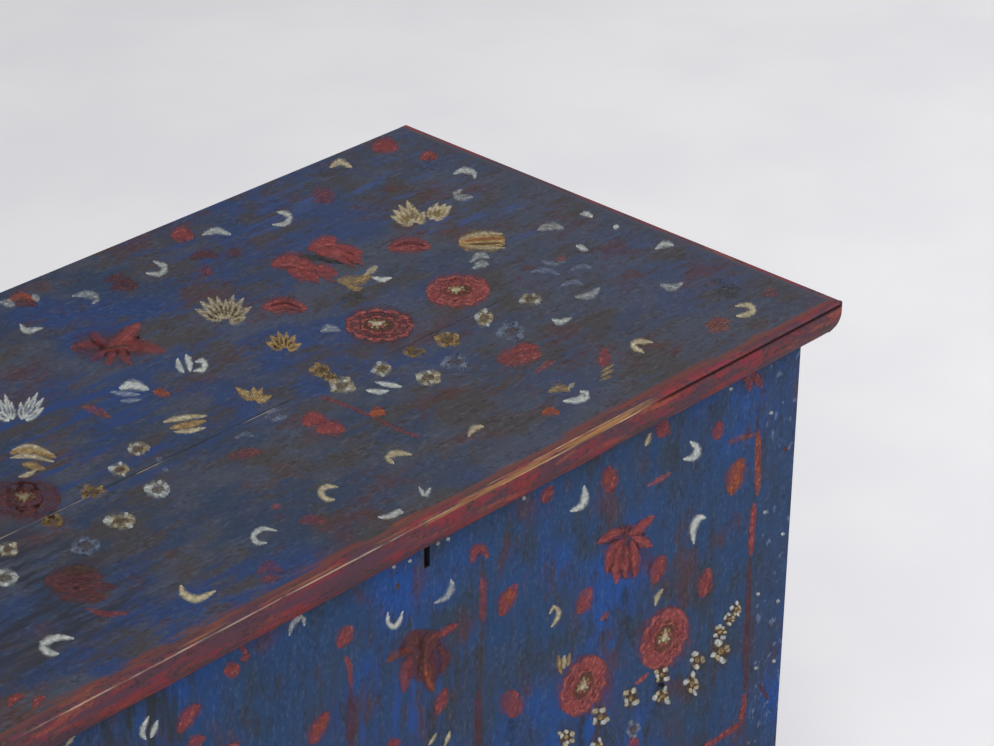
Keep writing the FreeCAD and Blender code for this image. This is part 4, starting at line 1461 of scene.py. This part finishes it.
@dataclass(frozen=True)
class FrontFlowers(Flowers):
    """The front's flowers, stems and frame line."""
    upright_buds: Touches = Touches(RED, 14, (((658, 437), (663, 429), (668, 421)),
        ((653, 583), (658, 568), (666, 556)), ((500, 616), (507, 600), (517, 584)),
        ((578, 614), (584, 602), (592, 587)), ((178, 733), (188, 716), (200, 705)),
        ((338, 648), (345, 636), (352, 626)), ((701, 597), (705, 583), (710, 568))), 0.16)
    small_buds: Touches = Touches(RED, 11, (((715, 440), (718, 430), (722, 421)),
        ((436, 715), (441, 701), (447, 688)), ((543, 503), (547, 495), (553, 486)),
        ((188, 746), (196, 741), (206, 738)), ((386, 748), (393, 744), (401, 741)),
        ((629, 748), (634, 742), (638, 738))), 0.2)
    round_bud: Touches = Touches(RED, 23, (((511, 718), (512, 704), (515, 690)),), 0.25)
    broad_bud: Touches = Touches(RED, 16, (((607, 493), (610, 479), (609, 466)),), 0.25)
    orange_bud: Touches = Touches(ORANGE, 16, (((730, 495), (735, 477), (743, 458)),), 0.2)
    orange_lights: Touches = Touches(ORANGE, 4, (((604, 487), (607, 478), (608, 469)),
        ((503, 604), (507, 595), (512, 587)), ((508, 606), (511, 597), (516, 589))), 0.35)
    orange_bud_vein: Touches = Touches(RED, 4, (((733, 490), (738, 477), (743, 464)),), 0.3)
    short_stems: Touches = Touches(RED, 6, (((344, 656), (349, 665), (351, 690)), ((250, 655), (240, 660)),
        ((240, 645), (247, 655))), 0.25)
    berry: Touches = Touches(RED, 15, (((224, 672), (240, 668)),), 0.16, Tip.ROUND)
    low_bud: Touches = Touches(RED, 15, (((310, 744), (318, 729), (329, 712)),), 0.18)
    low_lights: Touches = Touches(ORANGE, 4, (((314, 737), (320, 727), (326, 718)),
        ((229, 669), (235, 667))), 0.35)
    pink_dashes: Touches = Touches(PINK, 5, (((647, 486), (660, 479), (672, 472)),
        ((635, 684), (642, 679), (649, 673))), 0.3)
    orange_dash: Touches = Touches(ORANGE, 6, (((600, 620), (605, 616), (609, 612)),), 0.45)
    right_leaf: Cluster = Cluster((disc(DARK_RED, (626, 552), (-3, 27), 40, 0.4),
        Stroke(RED, 9, ((625, 530), (612, 535), (597, 543)), 0.08),
        Stroke(RED, 11, ((624, 540), (612, 552), (606, 573)), 0.1),
        Stroke(RED, 10, ((622, 545), (616, 562), (616, 584)), 0.1),
        Stroke(RED, 10, ((626, 545), (625, 560), (625, 578)), 0.1),
        Stroke(RED, 10, ((632, 540), (635, 558), (634, 577)), 0.1),
        Stroke(RED, 10, ((632, 536), (642, 541), (652, 547)), 0.08),
        Stroke(RED, 10, ((628, 534), (640, 527), (654, 516)), 0.08),
        Stroke(DARK_RED, 4, ((628, 522), (625, 540), (623, 562)), 0.15),
        Stroke(PINK, 2.5, ((634, 532), (642, 526), (650, 520)), 0.2),
        Stroke(PINK, 2.5, ((618, 534), (610, 537), (602, 541)), 0.2)))
    middle_leaf: Cluster = Cluster((disc(DARK_RED, (423, 655), (2, 26), 46, 0.28),
        Stroke(DARK_RED, 14, ((425, 658), (430, 642), (440, 632)), 0.12),
        Stroke(RED, 8, ((437, 636), (448, 630), (457, 624)), 0.15),
        Stroke(DARK_RED, 13, ((417, 632), (411, 645), (402, 656)), 0.15),
        Stroke(ORANGE, 7, ((408, 648), (395, 655), (386, 662)), 0.46),
        Stroke(RED, 11, ((412, 656), (406, 672), (403, 693)), 0.34),
        Stroke(DARK_RED, 15, ((426, 650), (428, 670), (430, 692)), 0.15),
        Stroke(DARK_RED, 9, ((438, 645), (445, 656), (441, 674)), 0.2),
        Stroke(ORANGE, 5, ((424, 665), (428, 680), (434, 692)), 0.25),
        Stroke(BROWN, 3, ((424, 636), (421, 655), (417, 676)), 0.5)))
    upper_rosette: Rosette = Rosette((664, 638.5), (15.5, -29), 20, (664.5, 637), RED, PINK, 0.04)
    lower_rosette: Rosette = Rosette((583, 685.5), (16, -28), 19, (583, 685.5), RED, PINK, 0.04)
    white_moons: Touches = Touches(WHITE, 7.5, (((584.5, 485.5), (585, 497), (581, 506), (570, 511)),
        ((690, 441), (697, 448), (694, 457), (683, 459)),
        ((706, 518), (699, 518), (693, 528), (693.5, 544))), 0.08)
    worn_moons: Touches = Touches(WHITE, 6, (((451, 579), (452, 587), (446, 597), (434, 603)),
        ((289, 636), (293, 623), (302, 617), (304, 626))), 0.34)
    cream_hooks: Touches = Touches(CREAM, 5, (((651, 433), (648, 440), (645, 446)),
        ((549, 614), (554, 607), (559, 612), (556, 620), (551, 627)),
        ((655, 606), (657, 597), (663, 589))), 0.2)
    white_hooks: Touches = Touches(WHITE, 5.5, (((388, 612), (388, 622), (394, 627), (399, 622), (403, 611)),
        ((149, 716), (142, 732), (146, 740)), ((158, 720), (154, 730), (150, 738))), 0.12)
    small_tulip: Cluster = Cluster((Stroke(TAN, 5, ((559, 655), (559, 664), (561, 674))),
        Stroke(CREAM, 5, ((565, 655), (564, 662), (563, 669))),
        Stroke(TAN, 4, ((570, 653), (569, 660), (567, 666)))))
    low_blades: Touches = Touches(CREAM, 4, (((428, 745), (433, 739), (437, 733)),
        ((444, 746), (448, 738), (450, 731)), ((65, 746), (70, 741), (75, 736))), 0.2)
    white_spots: Touches = Touches(WHITE, 4, (((408, 561), (412, 561)), ((392, 567), (396, 567)),
        ((436, 544), (440, 543)), ((446, 540), (450, 538)), ((522, 499), (526, 498)),
        ((729, 389), (733, 389)), ((769, 413), (773, 413)), ((763, 512), (767, 512)),
        ((781, 534), (785, 534)), ((756, 594), (760, 594)), ((776, 601), (780, 601)),
        ((754, 668), (758, 668)), ((772, 661), (776, 661))), 0.3)
    daisies: Daisies = Daisies((((736, 609), 6, 8, CREAM), ((729, 619), 6, 7, CREAM),
        ((720, 632), 8, 8, CREAM), ((721, 651), 11, 12, CREAM), ((697, 660), 8, 10, CREAM),
        ((692, 684), 8, 12, CREAM), ((662, 675), 8, 9, CREAM), ((662, 696), 9, 10, CREAM),
        ((631, 698), 8, 12, CREAM), ((600, 717), 9, 11, CREAM), ((566, 737), 8, 10, CREAM),
        ((598, 746), 7, 8, CREAM)), TAN, 0.14, BROWN)
    lilac_daisy: Daisies = Daisies((((633, 729), 8, 10, LILAC),), BROWN, 0.3)
    frame_top: Touches = Touches(ORANGE, 6, (((758.5, 430), (758, 462), (757, 495)),), 0.22, Tip.EVEN)
    frame_turn: Touches = Touches(ORANGE, 5, (((755, 434), (741, 438), (727, 443)),), 0.5, Tip.EVEN)
    frame_upper: Touches = Touches(RED, 6, (((754.5, 503), (752, 530), (750.5, 555.5)),), 0.12, Tip.EVEN)
    frame_middle: Touches = Touches(DARK_RED, 5, (((749.6, 558), (747.5, 622), (745, 690)),), 0.3, Tip.EVEN)
    dark_stems: Touches = Touches(DARK_RED, 7, (((479, 691), (478, 720), (478, 750)),
        ((351, 688), (351, 718), (350, 750))), 0.34, Tip.EVEN)
    brown_stems: Touches = Touches(BROWN, 7, (((483, 618), (481, 655), (479, 692)),
        ((480, 556), (482, 566), (483, 578))), 0.5, Tip.EVEN)
    frame_corner: Touches = Touches(RED, 5.5, (((745, 693), (743, 710), (740, 724)),
        ((740, 724), (721, 736.6), (700, 750))), 0.18, Tip.EVEN)
    arch_stem: Touches = Touches(RED, 7, (((483, 576), (483, 597), (482, 622)),), 0.32, Tip.EVEN)
    arch: Touches = Touches(RED, 10, (((471, 563), (475, 551), (482, 549), (488, 558)),), 0.16)
    green_stems: Touches = Touches(GREEN, 8, (((512, 720), (511, 722), (511, 746)),
        ((583, 715), (582, 730), (580, 748)), ((430, 700), (431, 720), (431, 740)),
        ((625, 585), (626, 610), (630, 640)), ((660, 668), (657, 690), (655, 715))), 0.6, Tip.EVEN)
    frame_bottom: Touches = Touches(RED, 5.5, (((700, 750), (600, 815), (478, 893)),), 0.25, Tip.EVEN)
    frame_inner: Touches = Touches(DARK_RED, 5, (((478, 750), (477, 820), (476, 893)),), 0.3, Tip.EVEN)
    drips: Touches = Touches(RED, 9, (((742, 373), (748, 380), (750, 391)),
        ((752, 372), (757, 378), (760, 388))), 0.3)
    dark_spots: Touches = Touches(DARK_RED, 5, (((760, 684), (764, 692), (768, 700)),
        ((783, 449), (788, 449))), 0.3)
    nail_spots: Touches = Touches(BROWN, 6, (((755, 380), (759, 380)),
        ((396, 586), (400, 586))), 0.0, Tip.ROUND)


@dataclass
class Ornament:
    """Lays the flowers on the lid, the front and both ends, repeated where the photograph doesn't reach."""
    view: PhotoView = PhotoView()
    back_limit: float = 0.288
    room: float = 0.05
    large_room: float = 0.09
    large_motif: int = 20
    mirrored_from: float = 0.03
    panel_from: float = 0.06
    frame_line: float = 0.42
    panel_to: float = 0.46
    panel_middle: float = 0.27

    def on_lid(self, side: float) -> Callable[[Pixel], Vector]:
        """How the lid is painted, kept off its back edge.

        Args:
            side: 1 as the photograph shows it, -1 mirrored.
        Returns:
            What gives the place on the lid for a point of the photograph.
        """
        def place(pixel: Pixel) -> Vector:
            """The place on the lid."""
            found = self.view.meets(pixel, Vector((0.0, 0.0, LID_TOP - PAINT_ROOM)), UP)
            return Vector((found.x * side, min(found.y, self.back_limit), found.z))
        return place

    def on_front(self, side: float) -> Callable[[Pixel], Vector]:
        """How the front is painted.

        Args:
            side: 1 as the photograph shows it, -1 mirrored.
        Returns:
            What gives the place on the front for a point of the photograph.
        """
        def place(pixel: Pixel) -> Vector:
            """The place on the front."""
            found = self.view.meets(pixel, Vector((0.0, FRONT_FACE, 0.0)), FRONTWARDS)
            return Vector((found.x * side, found.y, found.z))
        return place

    def on_end(self, end: float, side: float) -> Callable[[Pixel], Vector]:
        """How an end is painted, with a copy of the front's right panel.

        Args:
            end: 1 for the right end, -1 for the left.
            side: 1 for a copy, -1 for a mirrored copy.
        Returns:
            What gives the place on the end for a point of the photograph.
        """
        def place(pixel: Pixel) -> Vector:
            """The place on the end."""
            found = self.on_front(1.0)(pixel)
            return Vector((end * END_FACE, end * side * (found.x - self.panel_middle), found.z))
        return place

    def build(self) -> None:
        """Paints the lid, the front and both ends."""
        self.paint_lid()
        self.paint_front()

    def paint_lid(self) -> None:
        """The lid's flowers, and the same mirrored over the part to the left that isn't shown."""
        face = Face("lid_flowers", "lid", UP)
        shown, mirrored = self.on_lid(1.0), self.on_lid(-1.0)
        motifs = LidFlowers().motifs()
        homes = [shown(motif.anchor()) for motif in motifs]
        for motif in motifs:
            face.lay(motif, shown)
            target = mirrored(motif.anchor())
            room = self.large_room if len(motif.strokes) > self.large_motif else self.room
            crowded = any((target - home).length < room for home in homes)
            if not crowded and not self.view.sees(target):
                face.lay(motif, mirrored)
        face.finish()

    def paint_front(self) -> None:
        """The front's flowers, mirrored where they aren't shown, and copies of them on the ends."""
        front = Face("front_flowers", "case", FRONTWARDS)
        ends = {-1.0: Face("left_end_flowers", "case", Vector((-1.0, 0.0, 0.0))),
                1.0: Face("right_end_flowers", "case", Vector((1.0, 0.0, 0.0)))}
        shown, mirrored = self.on_front(1.0), self.on_front(-1.0)
        for motif in FrontFlowers().motifs():
            front.lay(motif, shown)
            home = shown(motif.anchor())
            hidden = not self.view.sees(mirrored(motif.anchor()))
            if self.mirrored_from < home.x < self.panel_to and hidden:
                front.lay(motif, mirrored)
            if self.panel_from < home.x < self.panel_to:
                for end, face in ends.items():
                    face.lay(motif, self.on_end(end, 1.0))
                    if home.x > self.frame_line:
                        face.lay(motif, self.on_end(end, -1.0))
        for face in (front, *ends.values()):
            face.finish()


@dataclass
class Case:
    """The chest's box: four walls, plinth, floor and pegs."""
    side: BoardPaint = BoardPaint(
        "side_blue", Axis.Z, paint(34, 58, 92), paint(26, 64, 124), paint(50, 58, 76), paint(46, 50, 50),
        0.7, 0.6, 0.55, seed=4.0)
    front: BoardPaint = replace(side, name="front_blue", strip_start=0.456, seed=1.0, edges=(
        *both_ends(EdgeTint(Axis.X, END_FACE, 3 * MM, paint(128, 118, 104), 0.3)),
        EdgeTint(Axis.X, -0.04, 0.13, paint(36, 62, 116), 0.44, (Axis.Z, 0.39, 0.09)),
        # A darker, greyer patch on the front, just under the lid's lip towards the left.
        EdgeTint(Axis.X, -0.32, 0.09, paint(40, 46, 52), 0.5, (Axis.Z, 0.53, 0.07))))
    # The keyhole slot's walls get near-black tones: painted shade inside the slot.
    grime: BareBoard = BareBoard("keyhole_shade", Axis.X, paint(34, 29, 26), paint(22, 19, 18), DARK_GRIME_AND_SHADE)
    keyhole: tuple[Triple, Triple] = ((-3.5 * MM, -0.28, 0.5305), (3.5 * MM, -0.22, 0.5605))
    proud: float = 0.15 * MM
    end_arris: float = 0.8 * MM
    plinth: TrimProfile = TrimProfile(18 * MM, 66 * MM, 0.0, 22 * MM, 9 * MM, True)
    plinth_half: Triple = (0.5285, 0.2815, 0.066)
    plinth_purple: Colour = paint(92, 46, 54)
    plinth_brown: Colour = paint(94, 52, 48)

    def build(self) -> None:
        """Makes the walls and the plinth and dresses the CAD nodes that stay."""
        lengthwise = BareBoard("bare_board_x", Axis.X).material()
        crosswise = BareBoard("bare_board_y", Axis.Y).material()
        front = self.front.material()
        side = self.side.material()
        low, high = (0.0, -self.proud, 0.0), (0.0, self.proud, 0.0)
        still = (0.0, 0.0, 0.0)
        keyhole = [tuple(Vector(corner) for corner in self.keyhole)]
        rims = (0.0, 0.0, 1.0), (0.0, 0.0, -1.0)
        Plank("front_board", "case", front, lengthwise, ((0.0, 1.0, 0.0), *rims), "blue_paint",
              (low, still), openings=keyhole, walls=self.grime.material()).build()
        Plank("back_board", "case", side, lengthwise, ((0.0, -1.0, 0.0), *rims), "blue_paint",
              (still, high)).build()
        for name, sign in (("left", -1.0), ("right", 1.0)):
            Plank(name + "_end_board", "case", side, crosswise, ((-sign, 0.0, 0.0), *rims), "blue_paint",
                  arris=self.end_arris).build()
        self.base()
        for name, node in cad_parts.items():
            if name.startswith("bottom_board"):
                node.data.materials[0] = crosswise
            elif name.startswith("bottom_cleat"):
                node.data.materials[0] = lengthwise

    def base(self) -> None:
        """The plinth's four strips and their sunk pegs."""
        finish = {}
        for axis in (Axis.X, Axis.Y):
            name = "plinth_red_" + axis.name.lower()
            red = TrimPaint(name, axis, purple=self.plinth_purple, brown=self.plinth_brown)
            finish[axis] = red.material()
        half = Vector(self.plinth_half)
        for name, side in sides(half).items():
            axis = Axis.X if name in ("front", "back") else Axis.Y
            TrimStrip("plinth_" + name, "case", self.plinth, *side, finish[axis]).build()
        sunk_copy("plinth_pegs", "case", half, finish[Axis.X])


@dataclass
class Lid:
    """The lid: two boards, three mouldings, battens and pegs."""
    half: Triple = (0.537, 0.290, LID_TOP)
    front_trim: TrimProfile = TrimProfile(12 * MM, 34 * MM, 2.2 * MM, 23 * MM, 8 * MM, False, 2.2 * MM)
    end_trim: TrimProfile = TrimProfile(12 * MM, 34 * MM, 2.8 * MM, 23 * MM, 8 * MM, False)
    corner: float = 3 * MM
    front_fray: float = 1.2 * MM
    crack_from: float = 0.20
    seam_gap: float = 0.2 * MM
    board_gap: float = 0.2 * MM
    board_arris: float = 0.4 * MM
    board_waver: float = 0.15 * MM
    hinges: tuple[float, float] = (-0.3, 0.3)
    notch_low: Triple = (-0.034, 0.2625, 0.57)
    notch_high: Triple = (0.034, 0.30, 0.5795)
    # The lid's blues are greyer than the walls' blues: partly painted sheen on the top, which also grows
    # towards the right.
    top: BoardPaint = BoardPaint(
        "lid_blue", Axis.X, paint(42, 53, 74), paint(34, 54, 96), paint(66, 68, 78), paint(62, 56, 52),
        0.8, 0.75, 0.55,
        (EdgeTint(Axis.Y, -0.279, 12 * MM, paint(98, 54, 48), 0.5),
         EdgeTint(Axis.Y, -0.277, 5 * MM, paint(124, 68, 50), 0.34),
         EdgeTint(Axis.Y, SEAM + 1.3 * MM, 1.5 * MM, paint(34, 36, 42), 0.6, span=(Axis.X, -0.6, 0.05)),
         EdgeTint(Axis.Y, SEAM, 0.9 * MM, paint(142, 132, 118), 0.45, span=(Axis.X, -0.6, 0.04)),
         EdgeTint(Axis.Y, SEAM, 1.2 * MM, paint(40, 42, 48), 0.5, span=(Axis.X, 0.06, 0.6)),
         EdgeTint(Axis.X, 0.5265, 5 * MM, paint(98, 54, 52), 0.3),
         EdgeTint(Axis.X, -0.13, 0.18, paint(36, 56, 100), 0.44, (Axis.Y, 0.02, 0.14)),
         EdgeTint(Axis.X, -0.34, 0.15, paint(40, 43, 54), 0.5, (Axis.Y, -0.14, 0.14)),
         EdgeTint(Axis.X, 0.36, 0.22, paint(54, 70, 112), 0.34, (Axis.Y, 0.14, 0.18))),
        fades_to_right=True, seed=2.0)
    pale: Colour = paint(186, 152, 112)
    at_top: Limit = (Axis.Z, LID_TOP, 3 * MM)
    at_face: Limit = (Axis.Y, -0.290, 3 * MM)
    bare_span: Limit = (Axis.X, -0.02, 0.26)
    lip_tints: tuple[EdgeTint, ...] = (
        EdgeTint(Axis.Z, 0.5890, 9 * MM, paint(78, 50, 62), 0.55, span=(Axis.X, -0.7, -0.05)),
        EdgeTint(Axis.Y, -0.278, 9 * MM, paint(92, 58, 54), 0.6, at_top),
        EdgeTint(Axis.Y, -0.2868, 2.4 * MM, paint(126, 84, 54), 0.42, at_top, (Axis.X, -0.36, 0.0)),
        EdgeTint(Axis.Y, -0.290, 5 * MM, paint(134, 98, 62), 0.62, (Axis.Z, LID_TOP, 6 * MM), bare_span),
        EdgeTint(Axis.Y, -0.2900, 0.9 * MM, paint(190, 168, 144), 0.58, at_top, (Axis.X, -0.45, 0.0)),
        EdgeTint(Axis.Y, -0.2862, 1.1 * MM, pale, 0.5, at_top, bare_span),
        EdgeTint(Axis.Z, 0.5960, 1.1 * MM, pale, 0.46, at_face, bare_span),
        # Near-black painted shade in the crack below the moulding's top arris, towards the right corner,
        # over the groove there.
        EdgeTint(Axis.Z, 0.5958, 2.6 * MM, paint(20, 16, 16), 1.0, (Axis.Y, -0.2885, 5 * MM),
                 (Axis.X, 0.27, 0.60)))
    end_tints: tuple[EdgeTint, ...] = (
        *both_ends(EdgeTint(Axis.X, 0.5255, 9 * MM, paint(62, 64, 76), 0.85, at_top)),
        *both_ends(EdgeTint(Axis.X, 0.537, 1.6 * MM, pale, 0.3, at_top)))

    def build(self) -> None:
        """Makes the boards and mouldings and dresses the CAD nodes that stay."""
        top = self.top.material()
        under = BareBoard("bare_lid", Axis.X).material()
        crosswise = BareBoard("bare_batten", Axis.Y).material()
        gap, seam = self.board_gap, self.seam_gap
        ends = Vector(self.notch_low), Vector(self.notch_high)
        notches = [tuple(end + Vector((x, 0.0, 0.0)) for end in ends) for x in self.hinges]
        boards = (("lid_board_front", ((-gap, 0.0, gap), (gap, seam, -PAINT_ROOM)), []),
                  ("lid_board_rear", ((-gap, -seam, gap), (gap, 0.0, -PAINT_ROOM)), notches))
        for node, trim, openings in boards:
            Plank(node, "lid", top, under, ((0.0, 0.0, -1.0),), "blue_paint", trim, self.board_arris,
                  waver=self.board_waver, openings=openings, walls=under).build()
        self.mouldings()
        for name in ("lid_batten_left", "lid_batten_right"):
            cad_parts[name].data.materials[0] = crosswise

    def mouldings(self) -> None:
        """The three mitred mouldings and their sunk pegs."""
        along = TrimPaint("lid_red_x", Axis.X, self.lip_tints).material()
        across = TrimPaint("lid_red_y", Axis.Y, self.end_tints).material()
        half = Vector(self.half)
        TrimStrip("lid_moulding_front", "lid", self.front_trim, *sides(half)["front"], along,
                  ragged=self.front_fray, shrunk_from=half.x + self.crack_from, corner=self.corner).build()
        flush = sides(Vector((half.x, half.y, half.z - PAINT_ROOM)))
        TrimStrip("lid_moulding_right", "lid", self.end_trim, *flush["right"], across, mitre_end=False,
                  corner=self.corner).build()
        TrimStrip("lid_moulding_left", "lid", self.end_trim, *flush["left"], across, mitre_start=False,
                  corner=self.corner).build()
        sunk_copy("moulding_pegs", "lid", half, along)


@dataclass
class Ironwork:
    """Hinges, lock and nails, all forged."""
    words: tuple[str, ...] = ("hinge", "lock_", "nails", "rivets", "key_post", "bolt_")

    def build(self) -> None:
        """Gives every iron node its material."""
        iron = ForgedIron().material()
        for name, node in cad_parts.items():
            if any(word in name for word in self.words):
                node.data.materials[0] = iron
                LOG.info("%s: forged iron", name)


def main() -> None:
    """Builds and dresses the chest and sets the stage."""
    logging.basicConfig(level=logging.INFO, format="%(message)s")
    Case().build()
    Lid().build()
    Ironwork().build()
    Ornament().build()
    Studio().build()


if __name__ == "__main__":
    main()
